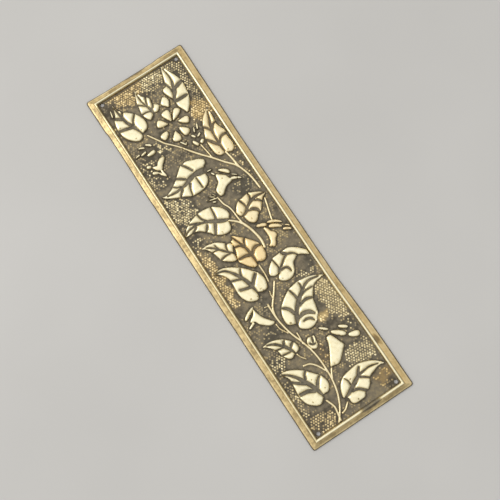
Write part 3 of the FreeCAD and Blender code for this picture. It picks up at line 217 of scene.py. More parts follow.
         [(-18.5, 24.6, 0.7), (-21.6, 26.0, 0.6), (-24.8, 27.5, 0.4)],
         [(-10.2, 18.8, 0.9), (-12.0, 15.8, 0.8), (-14.0, 12.4, 0.6)],
         [(-15.0, 21.2, 0.4), (-16.2, 19.3, 0.6), (-18.4, 17.2, 0.4)],
         [(-22.0, 23.7, 0.4), (-23.6, 22.6, 0.5), (-26.0, 21.4, 0.3)]]),
    "east leaf": (
        [(28.6, 18.2), (26.0, 20.8), (22.6, 23.0), (19.6, 24.2), (16.6, 24.5), (13.0, 23.8),
         (9.8, 23.2), (7.0, 20.8), (5.1, 17.4), (5.8, 14.4), (7.6, 12.6), (8.0, 10.0), (9.0, 7.2),
         (11.6, 5.0), (14.4, 5.6), (17.0, 8.4), (19.6, 9.6), (21.6, 11.6), (23.6, 14.4),
         (26.0, 16.6)],
        [[(7.4, 12.9, 0.4), (10.8, 14.2, 0.7), (13.6, 16.4, 0.7), (16.6, 18.4, 0.8),
          (19.6, 19.2, 0.9), (23.0, 19.6, 0.6), (27.6, 18.7, 0.3)],
         [(12.6, 15.9, 0.4), (12.5, 19.0, 0.5), (11.2, 23.0, 0.4)],
         [(17.4, 18.8, 0.8), (18.4, 21.4, 0.4), (18.4, 24.2, 0.3)],
         [(12.4, 14.4, 0.6), (15.6, 13.6, 0.9), (18.0, 11.6, 0.9), (18.4, 9.2, 0.5)],
         [(19.8, 18.0, 0.5), (22.0, 16.8, 0.6), (23.6, 14.4, 0.4)]]),
    "high left leaf": (
        [(-30.6, 53.2), (-27.4, 52.5), (-23.6, 53.6), (-20.2, 55.5), (-16.4, 58.2), (-12.2, 62.0),
         (-9.0, 64.6), (-6.4, 64.9), (-3.8, 65.5), (0.4, 63.9), (4.8, 62.0), (7.2, 59.8),
         (6.8, 57.2), (4.6, 55.6), (2.6, 53.4), (2.9, 50.2), (2.8, 47.8), (1.4, 45.2), (-1.6, 43.2),
         (-5.6, 42.3), (-9.6, 42.2), (-13.2, 42.8), (-17.6, 45.2), (-21.6, 46.9), (-25.6, 49.0),
         (-28.4, 50.8)],
        [[(3.4, 53.4, 2.0), (-0.6, 54.0, 2.0), (-4.0, 54.3, 1.3), (-8.0, 53.4, 1.5),
          (-12.0, 51.8, 0.9), (-16.0, 51.3, 0.7), (-20.0, 50.8, 0.6), (-26.5, 51.5, 0.3)],
         [(-3.2, 57.2, 0.6), (-4.8, 60.4, 0.6), (-7.4, 64.6, 0.5)],
         [(-9.8, 54.2, 0.6), (-12.6, 56.6, 0.7), (-16.0, 58.8, 0.5)],
         [(-15.6, 52.2, 0.5), (-18.2, 53.2, 0.4), (-20.2, 55.2, 0.3)],
         [(-4.0, 52.0, 0.3), (-3.9, 48.0, 0.35), (-3.8, 44.0, 0.4)],
         [(-9.4, 50.9, 0.7), (-11.2, 47.4, 0.4), (-12.2, 43.2, 0.3)],
         [(-15.8, 50.0, 0.6), (-18.2, 47.8, 0.5), (-19.4, 45.8, 0.3)]]),
    "high right leaf": (
        [(27.6, 88.2), (23.6, 86.0), (20.6, 83.0), (18.8, 79.6), (18.0, 77.0), (16.4, 74.2),
         (15.6, 71.2), (15.0, 67.6), (15.0, 63.0), (15.8, 58.0), (18.4, 55.5), (21.6, 55.8),
         (23.6, 55.0), (26.2, 53.9), (28.6, 55.6), (29.6, 59.4), (29.2, 63.0), (29.2, 65.6),
         (30.0, 68.4), (28.8, 72.2), (27.6, 75.8), (28.2, 80.0), (28.5, 84.6)],
        [[(21.8, 55.6, 0.3), (21.6, 60.0, 0.5), (21.7, 64.5, 0.7), (21.9, 69.5, 0.5),
          (22.6, 74.0, 0.8), (23.8, 77.6, 0.8), (25.4, 81.6, 0.45), (27.2, 86.6, 0.25)],
         [(21.0, 62.6, 0.6), (18.8, 66.0, 0.9), (15.8, 70.2, 0.6)],
         [(22.2, 73.6, 0.6), (20.4, 77.0, 0.6), (18.4, 78.8, 0.4)],
         [(22.4, 63.6, 0.5), (24.4, 66.2, 0.5), (27.4, 67.2, 0.7), (29.6, 66.6, 0.6)],
         [(23.6, 75.0, 0.8), (25.6, 77.0, 0.5), (27.9, 77.4, 0.35)]]),
    "top left leaf": (
        [(-24.3, 125.8), (-23.2, 122.0), (-21.4, 118.4), (-18.8, 116.6), (-15.6, 113.6),
         (-13.0, 110.4), (-11.3, 106.0), (-11.1, 101.8), (-12.6, 99.0), (-15.4, 97.9),
         (-17.4, 97.4), (-18.4, 95.2), (-21.0, 94.1), (-24.0, 95.2), (-27.6, 98.8), (-29.6, 102.6),
         (-30.2, 107.0), (-30.0, 111.4), (-28.8, 115.4), (-27.0, 117.2), (-25.6, 120.6)],
        [[(-17.4, 97.6, 0.4), (-18.6, 101.4, 0.6), (-20.0, 105.0, 1.1), (-22.2, 110.0, 0.8),
          (-23.0, 114.6, 0.8), (-23.6, 119.0, 0.45), (-24.2, 123.4, 0.2)],
         [(-20.6, 104.8, 0.8), (-25.0, 106.2, 0.9), (-29.8, 107.2, 0.7)],
         [(-22.8, 112.8, 0.8), (-25.4, 114.9, 0.9), (-28.4, 116.8, 0.6)],
         [(-19.2, 105.6, 0.5), (-18.0, 108.6, 0.4), (-14.8, 112.2, 0.4)],
         [(-22.4, 115.4, 0.4), (-21.2, 117.4, 0.4), (-20.2, 118.6, 0.3)]]),
    "top small leaf": (
        [(-6.2, 125.8), (-4.8, 121.6), (-2.6, 118.6), (-0.8, 116.9), (-0.1, 115.2), (-0.9, 112.4),
         (0.8, 110.6), (2.4, 109.2), (2.0, 106.8), (-0.8, 104.9), (-3.2, 105.6), (-5.0, 104.0),
         (-7.6, 102.5), (-9.7, 104.6), (-10.7, 107.6), (-10.9, 110.4), (-10.1, 114.6),
         (-9.6, 118.0), (-8.0, 122.0)],
        [[(-3.6, 105.2, 0.6), (-3.8, 108.8, 0.9), (-4.8, 112.0, 0.4), (-6.0, 116.0, 0.3),
          (-6.3, 120.0, 0.3), (-6.3, 123.6, 0.15)],
         [(-4.6, 107.8, 0.4), (-7.4, 108.7, 0.3), (-10.8, 108.7, 0.35)],
         [(-5.4, 112.4, 0.3), (-7.4, 114.4, 0.35), (-10.0, 116.2, 0.4)],
         [(-3.4, 109.0, 0.5), (-1.8, 109.6, 0.5), (-0.6, 111.6, 0.4)],
         [(-4.4, 112.6, 0.3), (-3.4, 115.8, 0.4), (-2.2, 118.4, 0.4)]]),
    "top right leaf": (
        [(17.8, 130.6), (19.9, 127.2), (21.8, 123.4), (23.6, 119.0), (24.6, 114.6), (24.4, 109.6),
         (23.4, 104.0), (21.6, 99.4), (18.6, 95.4), (15.8, 93.4), (14.2, 96.6), (12.6, 100.4),
         (12.6, 103.8), (12.4, 106.6), (10.6, 110.6), (9.5, 114.4), (10.8, 116.6), (13.4, 117.0),
         (14.0, 119.6), (15.4, 124.6), (16.8, 128.6)],
        [[(12.4, 104.6, 0.8), (14.6, 108.0, 0.9), (16.6, 111.4, 1.4), (17.8, 115.0, 0.9),
          (18.9, 119.0, 0.5), (18.8, 124.0, 0.3), (18.1, 128.6, 0.2)],
         [(13.6, 104.4, 0.9), (18.0, 104.2, 1.0), (21.8, 104.2, 0.8)],
         [(17.4, 112.6, 1.0), (20.6, 113.4, 1.1), (24.4, 114.4, 0.9)],
         [(15.0, 110.6, 0.5), (15.2, 114.0, 0.5), (13.8, 118.2, 0.6)]]),
}

# Flower bodies, in the same form
FLOWERS = {
    "low right bell": (
        [(0.2, -99.8), (1.2, -97.2), (4.2, -92.2), (7.0, -86.8), (8.0, -83.0), (9.6, -82.2),
         (11.6, -82.6), (13.4, -86.0), (14.9, -90.0), (15.7, -92.6), (13.6, -94.8), (11.0, -97.3),
         (8.0, -100.0), (5.4, -101.0), (2.8, -100.4)],
        []),
    "left bell": (
        [(-22.4, -44.2), (-20.6, -41.8), (-19.9, -44.0), (-18.9, -47.5), (-17.3, -50.6),
         (-15.0, -53.6), (-13.2, -56.0), (-14.5, -57.4), (-17.2, -57.0), (-20.0, -55.0),
         (-22.8, -52.4), (-24.2, -49.6), (-27.0, -48.3), (-25.4, -46.4), (-23.6, -45.4)],
        []),
    "middle right bell": (
        [(10.7, -13.2), (13.0, -11.0), (14.0, -7.0), (14.0, -2.2), (14.9, -0.8), (16.6, -2.4),
         (17.6, -5.0), (19.6, -7.2), (19.6, -9.8), (17.4, -11.6), (16.0, -14.2), (14.2, -15.6),
         (12.4, -14.7)],
        []),
    "high bell": (
        [(1.8, 35.2), (2.8, 32.4), (5.3, 32.2), (7.5, 34.0), (10.5, 36.0), (14.5, 37.0),
         (15.6, 38.4), (14.4, 40.2), (13.8, 42.2), (11.4, 44.6), (8.5, 46.8), (7.4, 46.2),
         (6.6, 43.2), (6.2, 41.3), (4.0, 39.5), (2.2, 37.6)],
        []),
    "small left bell": (
        [(-13.6, 75.4), (-14.4, 76.6), (-17.0, 76.9), (-20.0, 75.2), (-21.2, 73.6), (-23.4, 74.2),
         (-24.8, 73.6), (-23.4, 71.0), (-21.5, 69.4), (-19.2, 69.2), (-17.9, 71.0), (-15.4, 73.3)],
        []),
    "bud": (
        [(-4.1, -80.0), (-3.5, -77.8), (-1.5, -76.1), (0.8, -76.7), (2.7, -77.2), (2.3, -80.2),
         (1.7, -83.2), (0.2, -85.2), (-1.7, -85.1), (-3.3, -83.2)],
        [[(0.9, -77.4, 0.4), (0.4, -79.2, 0.5), (-0.4, -81.0, 0.3)],
         [(-2.4, -80.2, 0.5), (-1.4, -81.6, 0.4), (0.6, -82.0, 0.4)]]),
    "top bud": (
        [(3.6, 108.6), (5.4, 110.7), (7.1, 111.9), (9.1, 110.6), (9.9, 108.0), (9.4, 106.0),
         (8.2, 104.0), (6.9, 103.4), (5.4, 105.1), (3.9, 106.6)],
        []),
}

# Petals, tips and small pads. Each is a pillow about an axis: start x and y, end x and y,
# half width near the start, half width near the end, and how far its middle bows to the left.
PADS = {
    "rosette": [
        (3.4, 93.8, 2.6, 103.0, 0.8, 4.3, 0),
        (4.4, 93.6, 11.8, 99.8, 0.7, 3.5, 0),
        (7.0, 91.6, 14.4, 88.9, 1.0, 3.6, 0),
        (5.2, 87.8, 8.9, 80.6, 1.2, 3.8, 0),
        (1.9, 87.0, -0.6, 79.7, 1.1, 4.2, 0),
        (-2.4, 89.5, -8.6, 86.6, 1.6, 3.3, 0),
        (0.6, 93.4, -6.2, 98.0, 0.7, 4.0, 0),
    ],
    "low right bell": [
        (12.7, -81.0, 20.6, -87.8, 1.6, 2.1, 0),
        (18.6, -80.6, 24.0, -84.6, 1.2, 1.4, 0),
        (20.9, -88.9, 28.2, -92.0, 1.6, 2.6, 0),
        (7.4, -74.8, 12.6, -79.2, 0.9, 1.2, 0),
    ],
    "left bell": [
        (-29.1, -45.8, -19.8, -40.7, 1.5, 1.2, 0.4),
        (-29.8, -51.6, -24.6, -49.4, 0.9, 1.2, 0),
    ],
    "middle right bell": [
        (10.8, 2.5, 17.8, -0.4, 1.2, 1.7, 0.3),
        (18.0, 0.9, 26.9, -4.4, 1.2, 1.0, 0.9),
        (17.6, -1.9, 25.4, -6.8, 1.8, 1.2, 0.6),
        (24.4, -8.4, 29.6, -11.6, 1.2, 0.9, 0.4),
        (26.8, -6.8, 29.8, -9.4, 0.7, 0.7, 0.4),
    ],
    "high bell": [
        (10.7, 48.4, 16.8, 42.6, 1.1, 1.8, 0.6),
        (14.6, 39.0, 21.6, 34.9, 1.5, 0.6, 0.4),
        (16.4, 41.2, 20.2, 38.0, 0.6, 0.5, 0.2),
    ],
    "small left bell": [
        (-28.0, 76.0, -24.4, 74.6, 1.5, 1.2, 0),
        (-26.8, 70.6, -22.6, 68.4, 1.4, 1.0, 0),
        (-23.0, 68.6, -19.3, 63.4, 1.0, 0.9, 0),
        (-20.6, 69.4, -19.4, 63.8, 1.0, 0.6, 0),
    ],
    "left sprig": [
        (-25.8, 90.0, -21.4, 87.9, 0.8, 0.8, 0.3),
        (-20.6, 89.9, -16.7, 86.6, 0.9, 1.0, 0.4),
        (-23.2, 82.4, -16.5, 82.8, 1.2, 1.9, 0),
        (-30.6, 85.2, -26.6, 85.7, 0.6, 0.8, 0.3),
        (-26.6, 84.6, -22.0, 85.6, 0.8, 1.0, 0),
    ],
    "right sprig": [
        (9.9, 69.6, 7.5, 74.6, 1.4, 1.3, 0),
        (11.6, 70.0, 14.6, 72.2, 1.5, 1.3, 0),
        (11.0, 75.4, 8.9, 78.4, 0.9, 1.0, 0),
        (11.9, 75.0, 15.2, 76.8, 0.8, 0.9, 0),
        (11.9, 78.6, 13.4, 82.4, 0.8, 0.7, 0),
        (14.8, 79.4, 16.4, 83.6, 0.8, 0.9, 0),
    ],
    "calyx": [
        (0.1, 78.8, 3.2, 74.2, 0.7, 0.8, 0),
        (4.0, 77.4, 3.1, 74.6, 0.4, 0.5, 0),
        (0.8, 32.4, -6.4, 34.2, 0.7, 0.5, 0),
        (-0.4, 33.6, -4.6, 36.6, 0.6, 0.5, 0),
        (0.2, 34.0, -1.2, 36.8, 0.5, 0.5, 0),
        (-1.6, 30.6, -4.2, 32.0, 0.7, 0.7, 0),
        (4.0, 51.4, 8.0, 51.0, 0.7, 0.5, 0),
        (5.8, 49.4, 7.4, 46.6, 0.7, 0.8, 0),
    ],
    "stray sliver": [
        (-28.4, 117.6, -27.0, 124.0, 0.9, 0.4, 0),
        (-25.6, 109.6, -22.4, 106.6, 0.7, 0.6, 0),
    ],
}

# Each stem is a rib through its points; the last number is its share of the full width.
STEMS = {
    "main stem": (
        [(-14.5, -131.0), (-9.2, -124.0), (-5.2, -115.5), (-3.2, -106.0), (-2.7, -96.0),
         (-3.4, -86.5), (-5.6, -77.5), (-8.6, -69.0), (-10.4, -61.0), (-11.0, -54.0),
         (-9.3, -47.6), (-4.3, -41.3), (0.9, -34.3)], 1.0),
    "root left": ([(-13.0, -130.6), (-12.2, -126.0), (-11.6, -121.5), (-13.6, -115.8)], 1.0),
    "root right": ([(-9.6, -127.6), (-6.5, -126.6), (-3.2, -123.8)], 0.9),
    "low bell stem": ([(-2.7, -106.2), (-1.2, -103.0), (0.4, -100.6)], 0.9),
    "left twig": ([(-13.8, -89.8), (-9.5, -91.0), (-6.0, -95.0), (-3.1, -101.0)], 0.7),
    "small leaf stalk": ([(-13.0, -81.6), (-11.9, -84.2), (-9.8, -87.0)], 0.6),
    "left bell stalk": ([(-13.6, -58.4), (-13.0, -62.2), (-10.4, -66.6)], 0.6),
    "bud twig": ([(-5.5, -70.2), (-5.7, -74.0), (-6.2, -78.0)], 0.7),
    "double stem": ([(-11.0, -57.0), (-11.3, -51.0), (-10.9, -45.0)], 0.9),
    "upper thorn": ([(-6.0, -43.0), (-5.8, -40.4), (-5.2, -38.1)], 0.6),
    "lower thorn": ([(-11.0, -46.2), (-12.4, -45.3), (-13.7, -45.1)], 0.6),
    "front leaf stem": ([(-2.2, -32.0), (-1.5, -26.5), (-1.5, -20.0)], 0.7),
    "middle stem": ([(8.2, -12.0), (8.9, -7.0), (8.3, -1.5), (7.0, 4.0), (5.2, 8.6)], 1.3),
    "west leaf stem": ([(5.2, 8.3), (2.5, 12.2), (-1.4, 15.6)], 1.0),
    "high bell stem": (
        [(5.1, 8.6), (4.3, 14.0), (4.0, 19.5), (3.2, 23.5), (1.6, 27.0), (0.6, 33.0)], 0.9),
    "right bell stem": ([(22.0, 0.4), (24.4, 8.5), (26.4, 15.6)], 0.9),
    "high stem": (
        [(27.6, 23.0), (27.1, 31.0), (25.6, 38.0), (23.0, 44.5), (18.0, 50.5), (13.0, 57.0),
         (8.0, 63.0), (2.2, 70.5)], 1.0),
    "high right leaf stem": ([(24.0, 42.5), (23.2, 50.0), (22.2, 56.0)], 1.0),
    "top left leaf stem": ([(-8.5, 83.5), (-11.5, 88.5), (-15.2, 94.6)], 0.7),
    "joining stem": ([(2.2, 70.5), (-2.2, 76.6), (-8.5, 83.5)], 0.7),
    "sprig stem": ([(12.6, 58.0), (11.8, 64.0), (11.0, 69.5)], 0.7),
}

# How golden each form looks, from pale brass at 0 to orange gold at 1
GOLDEN = {
    "front leaf": 0.65,
    "high right leaf": 0.35,
    "east leaf": 0.3,
    "middle right bell": 0.5,
    "hidden leaf": 0.1,
    "rosette": 0.1,
}

# Punch marks and stains on the leaves: x, y and radius of each dark spot
SPOTS = [
    (-21.6, -112.0, 0.7), (-10.3, -108.6, 0.6), (-14.5, -99.9, 0.7), (-22.8, -101.7, 0.6),
    (3.4, -125.8, 0.6), (6.4, -112.8, 0.5), (3.6, -98.9, 0.6), (-5.4, -62.8, 0.9),
    (-18.1, -35.8, 0.8), (-13.9, -36.6, 0.5), (-9.0, -33.6, 0.6), (-8.2, -35.3, 0.6),
    (6.4, -36.0, 0.5), (2.3, -29.6, 0.5), (-4.0, 20.0, 0.6), (-9.6, 11.4, 0.6), (-16.0, 14.8, 0.4),
    (8.0, 15.6, 0.6), (11.6, 8.4, 0.7), (-10.5, 57.2, 0.6), (-1.2, 60.2, 0.5), (-9.9, 43.6, 0.5),
    (17.8, 57.8, 0.6), (24.4, 56.6, 0.6), (-22.8, 96.7, 0.7), (-16.4, 100.2, 0.6), (8.4, 104.8, 0.6),
    (10.2, 42.0, 0.6), (3.7, 34.6, 0.6), (-23.0, 46.0, 0.4), (-22.3, -44.9, 0.5), (-28.0, 108.8, 0.7),
    (1.8, -17.6, 0.6), (6.0, -17.4, 0.6), (-5.0, -18.4, 0.5), (12.3, -14.3, 0.6),
]

# Punched ground: middle x and y, half width, half length, share of dots, polish between
# the dots and how golden it is
STIPPLE = [
    (-11.0, 127.5, 13.5, 8.5, 1.0, 0.16, 0.45),
    (13.0, 127.0, 17.5, 7.5, 1.0, 0.04, 0.05),
    (28.2, 114.0, 4.0, 18.0, 0.95, 0.0, 0.1),
    (24.5, 92.0, 7.5, 8.5, 1.0, 0.28, 0.55),
    (-24.0, 38.0, 9.5, 13.0, 0.9, 0.03, 0.0),
    (-28.5, -13.0, 3.8, 25.0, 1.0, 0.30, 0.45),
    (21.5, -41.0, 8.0, 4.0, 0.7, 0.03, 0.0),
    (25.0, -63.0, 7.0, 15.0, 1.0, 0.28, 0.1),
    (17.0, -69.5, 8.0, 4.0, 0.5, 0.5, 0.45),
    (-26.0, -79.5, 6.5, 6.5, 0.85, 0.02, 0.0),
    (21.0, -102.5, 11.0, 8.5, 1.0, 0.16, 0.0),
    (-29.8, -106.0, 2.6, 13.0, 0.95, 0.05, 0.1),
    (-22.0, -125.5, 10.5, 7.0, 0.9, 0.08, 0.3),
    (25.5, -123.0, 6.5, 5.5, 0.35, 0.3, 0.6),
    (0.8, -88.0, 3.2, 9.0, 0.6, 0.14, 0.5),
    (-10.5, 83.0, 6.5, 6.5, 0.55, 0.03, 0.0),
    (-25.0, 70.0, 7.5, 12.0, 0.5, 0.02, 0.0),
    (20.0, 31.0, 10.0, 6.0, 0.35, 0.02, 0.0),
    (-19.0, -62.5, 9.0, 4.5, 0.4, 0.02, 0.0),
    (-12.0, -45.0, 4.0, 8.0, 0.2, 0.02, 0.0),
    (26.5, -37.0, 4.0, 4.0, 0.3, 0.02, 0.0),
    (-28.0, 15.5, 5.0, 5.0, 0.6, 0.02, 0.0),
    (28.5, 45.0, 2.5, 12.0, 0.5, 0.06, 0.2),
    (26.0, -83.0, 5.0, 6.0, 0.4, 0.02, 0.0),
]
DOT_PITCH = 1.7
DOT_REACH = 0.74
DOT_HEIGHT = 0.42
# Unevenness of the dots: stray of each, drift of the rows, sizes and how dull the dullest is
DOT_STRAY = 0.13
ROW_DRIFT = 0.5
DOT_SIZES = (0.75, 1.1)
DOT_DULLNESS = 0.45
# Least way from a dot's middle to foliage, holes and border
CLEAR_OF_FOLIAGE = 0.45
CLEAR_OF_HOLES = 1.0
CLEAR_OF_BORDER = 0.4
# Distance of the mesh points on the slope and at the foot of each dot
DOT_SLOPE = 0.45
DOT_FOOT = 0.85
# How far the edges of the punched patches stray
PATCH_STRAY = 2.2
# Elsewhere the ground has fainter dots, this share of them at most, and they shine less.
FAINT_SHARE = 0.6
FAINT_SHINE = 0.5

# Dark stains on ground and border: middle x and y, half width, half length and strength
STAINS = [
    (-30.5, 126.0, 4.5, 6.0, 0.25), (-22.5, 63.0, 4.5, 5.5, 0.2), (27.5, -129.0, 4.5, 4.0, 0.2),
    (8.0, -133.2, 8.5, 1.9, 0.75), (34.5, -101.0, 2.0, 3.5, 0.35), (0.0, 136.2, 9.0, 0.8, 0.35),
    (29.0, 0.0, 3.0, 14.0, 0.12), (-2.0, 70.0, 9.0, 4.0, 0.12), (14.0, -76.0, 9.0, 2.5, 0.15),
]

# Open ground is a little polished; round the foot of each form it is darker to this distance.
GROUND_POLISH = 0.2
HALO = 0.9
# Golden tone of plain ground and of stems
GROUND_GOLDEN = 0.15
# Swells of the ground: height, pitch and seed of each
GROUND_WAVES = [(0.09, 26, 3), (0.05, 9, 4)]
# Polish at a stem's foot and what its ridge has more
STEM_FOOT_POLISH = 0.06
STEM_RIDGE_POLISH = 0.92
# Polish that a form gains at its edge and further up its dome
EDGE_POLISH = 0.9
DOME_POLISH = 0.08
# How much polish and height a punch mark takes away
SPOT_DARKNESS = 0.75
SPOT_DEPTH = 0.12

# Squareness of a pad's outline, where 2 would be an ellipse
SQUARENESS = 2.5
# Steps between points on the outlines and veins, and on the stems
CURVE_STEP = 0.7
STEM_STEP = 0.8
# Mesh points of the field keep this far from the border.
MESH_MARGIN = 0.25


def smoothstep(edge_low, edge_high, value):
    t = np.clip((value - edge_low) / (edge_high - edge_low), 0.0, 1.0)
    return t * t * (3 - 2 * t)


def waves(points, size, seed):
    # Smooth pseudo-random waves of about -1 to 1, the same on every run.
    chance = random.Random(seed)
    total = np.zeros(len(points))
    for _ in range(6):
        angle = chance.uniform(0, 2 * math.pi)
        pitch = size * chance.uniform(0.7, 1.5)
        phase = chance.uniform(0, 2 * math.pi)
        along = points @ np.array((math.cos(angle), math.sin(angle)))
        total += np.sin(2 * math.pi * along / pitch + phase)
    return total / 6 * 1.6


# Curves
def curve_span(a, b, c, d, t):
    bent = (2 * a - 5 * b + 4 * c - d) * t * t + (3 * b - a - 3 * c + d) * t ** 3
    return 0.5 * (2 * b + (c - a) * t + bent)


def smooth_curve(points, step, closed):
    # Points at about the given step on a smooth curve; columns past x and y go with them.
    places = np.array(points, dtype=float)
    if closed:
        ends = np.vstack((places[-1:], places, places[:2]))
    else:
        ends = np.vstack((places[:1], places, places[-1:]))
    path = []
    for a, b, c, d in zip(ends, ends[1:], ends[2:], ends[3:]):
        pieces = max(2, int(round(math.hypot(*(c - b)[:2]) / step)))
        path.extend(curve_span(a, b, c, d, k / pieces) for k in range(pieces))
    if not closed:
        path.append(places[-1])
    return np.array(path)


def path_normals(path):
    run = np.gradient(path[:, :2], axis=0)
    run /= np.linalg.norm(run, axis=1)[:, None]
    return np.stack((-run[:, 1], run[:, 0]), axis=1)


def inside(points, outline):
    # True for the points within a closed outline.
    odd = np.zeros(len(points), dtype=bool)
    x, y = points[:, 0], points[:, 1]
    for (ax, ay), (bx, by) in zip(outline, np.roll(outline, -1, axis=0)):
        if ay == by:
            continue
        crosses = ((ay > y) != (by > y)) & (x < (bx - ax) * (y - ay) / (by - ay) + ax)
        odd ^= crosses
    return odd


def distance(points, path):
    # Shortest way from each point to a line of points, less the line's own half width.
    away = np.full(len(points), 99.0)
    for a, b in zip(path, path[1:]):
        span = b[:2] - a[:2]
        t = np.clip((points - a[:2]) @ span / (span @ span), 0, 1)
        gap = points - a[:2] - np.outer(t, span)
        width = a[2] + (b[2] - a[2]) * t if len(a) > 2 else 0.0
        away = np.minimum(away, np.hypot(gap[:, 0], gap[:, 1]) - width)
    return away


def pillow_outline(pad, count=28):
    start, end = np.array(pad[0:2]), np.array(pad[2:4])
    length = math.hypot(*(end - start))
    along = (end - start) / length
    left = np.array((-along[1], along[0]))
    turn = np.arange(count) * 2 * math.pi / count
    u = np.sign(np.cos(turn)) * np.abs(np.cos(turn)) ** (2 / SQUARENESS)
    v = np.sign(np.sin(turn)) * np.abs(np.sin(turn)) ** (2 / SQUARENESS)
    half_width = (pad[4] + pad[5]) / 2 + (pad[5] - pad[4]) / 2 * u
    side = v * half_width + pad[6] * (1 - u * u)
    return (start + end) / 2 + np.outer(u * length / 2, along) + np.outer(side, left)


class Form:
    """One raised form: a closed outline, its veins and how golden it is."""

    def __init__(self, outline, veins, golden):
        self.outline = outline
        self.veins = veins
        self.golden = golden
        self.low = outline.min(axis=0)
        self.high = outline.max(axis=0)

    def near(self, points, margin):
        # Index of the points in the form or closer to it than the margin, and how far each
        # lies inside its outline.
        close = np.all((points > self.low - margin) & (points < self.high + margin), axis=1)
        index = np.where(close)[0]
        loop = np.vstack((self.outline, self.outline[:1]))
        within = distance(points[index], loop)
        within[~inside(points[index], self.outline)] *= -1
        keep = within > -margin
        return index[keep], within[keep]

    def from_veins(self, points):
        away = np.full(len(points), 99.0)
        for vein in self.veins:
            away = np.minimum(away, distance(points, vein))
        return away


def all_forms():
    forms = []
    for table in (LEAVES, FLOWERS):
        for name, (outline, veins) in table.items():
            curves = [smooth_curve(vein, CURVE_STEP, False) for vein in veins]
            edge = smooth_curve(outline, CURVE_STEP, True)
            forms.append(Form(edge, curves, GOLDEN.get(name, 0.0)))
    for name, pads in PADS.items():
        for pad in pads:
            forms.append(Form(pillow_outline(pad), [], GOLDEN.get(name, 0.0)))
    return forms


FORMS = all_forms()
STEM_PATHS = [
    (smooth_curve(route, STEM_STEP, False), STEM_WIDTH / 2 * share) for route, share in STEMS.values()
]


def bulge(depth):
    # Share of the full relief: a steep edge and a gently domed top.
    edge = 1 - (1 - np.clip(depth / EDGE_REACH, 0, 1)) ** 2.2
    dome = 1 - (1 - np.clip(depth / DOME_REACH, 0, 1)) ** 2
    return (1 - DOME_SHARE) * edge ** 0.62 + DOME_SHARE * dome


def stem_lift(points):
    # Height of the rounded ribs above the field, and 1 on a ridge falling to 0 at its foot.
    lift = np.zeros(len(points))
    ridge = np.zeros(len(points))
    for path, half in STEM_PATHS:
        low, high = path.min(axis=0) - half, path.max(axis=0) + half
        near = np.where(np.all((points > low) & (points < high), axis=1))[0]
        if len(near):
            share = np.clip(1 - distance(points[near], path) / half, 0, 1)
            rise = STEM_HEIGHT * np.sqrt(np.clip(1 - (1 - share) ** 2, 0, 1))
            better = rise > lift[near]
            lift[near[better]] = rise[better]
            ridge[near[better]] = share[better]
    return lift, ridge


def bow_at(y):
    # Share of the right side's bow at each height on the plate.
    share = y / HALF_LENGTH
    return smoothstep(-0.72, -0.33, share) * smoothstep(1.0, 0.25, share)


def from_border(points):
    # How far each point lies inside the inner foot of the border.
    x, y = points[:, 0], points[:, 1]
    right = FIELD_HIGH[0] - INNER_BOW * bow_at(y) - x
    return np.minimum.reduce((x - FIELD_LOW[0], right, y - FIELD_LOW[1], FIELD_HIGH[1] - y))


# Punched ground
def stipple_map(points):
    # Share of dots, polish between them and golden tone of the ground at each point.
    share = np.zeros(len(points))
    polish_and_shade = np.zeros(len(points))
    golden = np.full(len(points), GROUND_GOLDEN)
    stray_x = PATCH_STRAY * waves(points, 11, 71)
    stray_y = PATCH_STRAY * waves(points, 11, 72)
    for x, y, half_x, half_y, amount, valley, gold in STIPPLE:
        across = np.abs(points[:, 0] - x + stray_x) / half_x
        along = np.abs(points[:, 1] - y + stray_y) / half_y
        within = smoothstep(1.3, 0.65, (across ** 3 + along ** 3) ** (1 / 3))
        better = within * amount > share
        share[better] = (within * amount)[better]
        polish_and_shade[better] = (within * valley)[better]
        golden[better] = GROUND_GOLDEN + (gold - GROUND_GOLDEN) * within[better]
    return share, polish_and_shade, golden


def hole_centres():
    x = HALF_WIDTH - HOLE_FROM_SIDE
    y = HALF_LENGTH - HOLE_FROM_END
    return [np.array((side * x, end * y)) for side in (-1, 1) for end in (-1, 1)]


def near_hole(points, margin):
    close = np.zeros(len(points), dtype=bool)
    for centre in hole_centres():
        close |= np.hypot(*(points - centre).T) < HOLE_RADIUS + margin
    return close


def on_foliage(points, margin):
    # True where a point lies on a form or stem, or closer to one than the margin.
    covered = np.zeros(len(points), dtype=bool)
    for form in FORMS:
        covered[form.near(points, margin)[0]] = True
    for path, half in STEM_PATHS:
        covered |= distance(points, path) < half + margin
    return covered


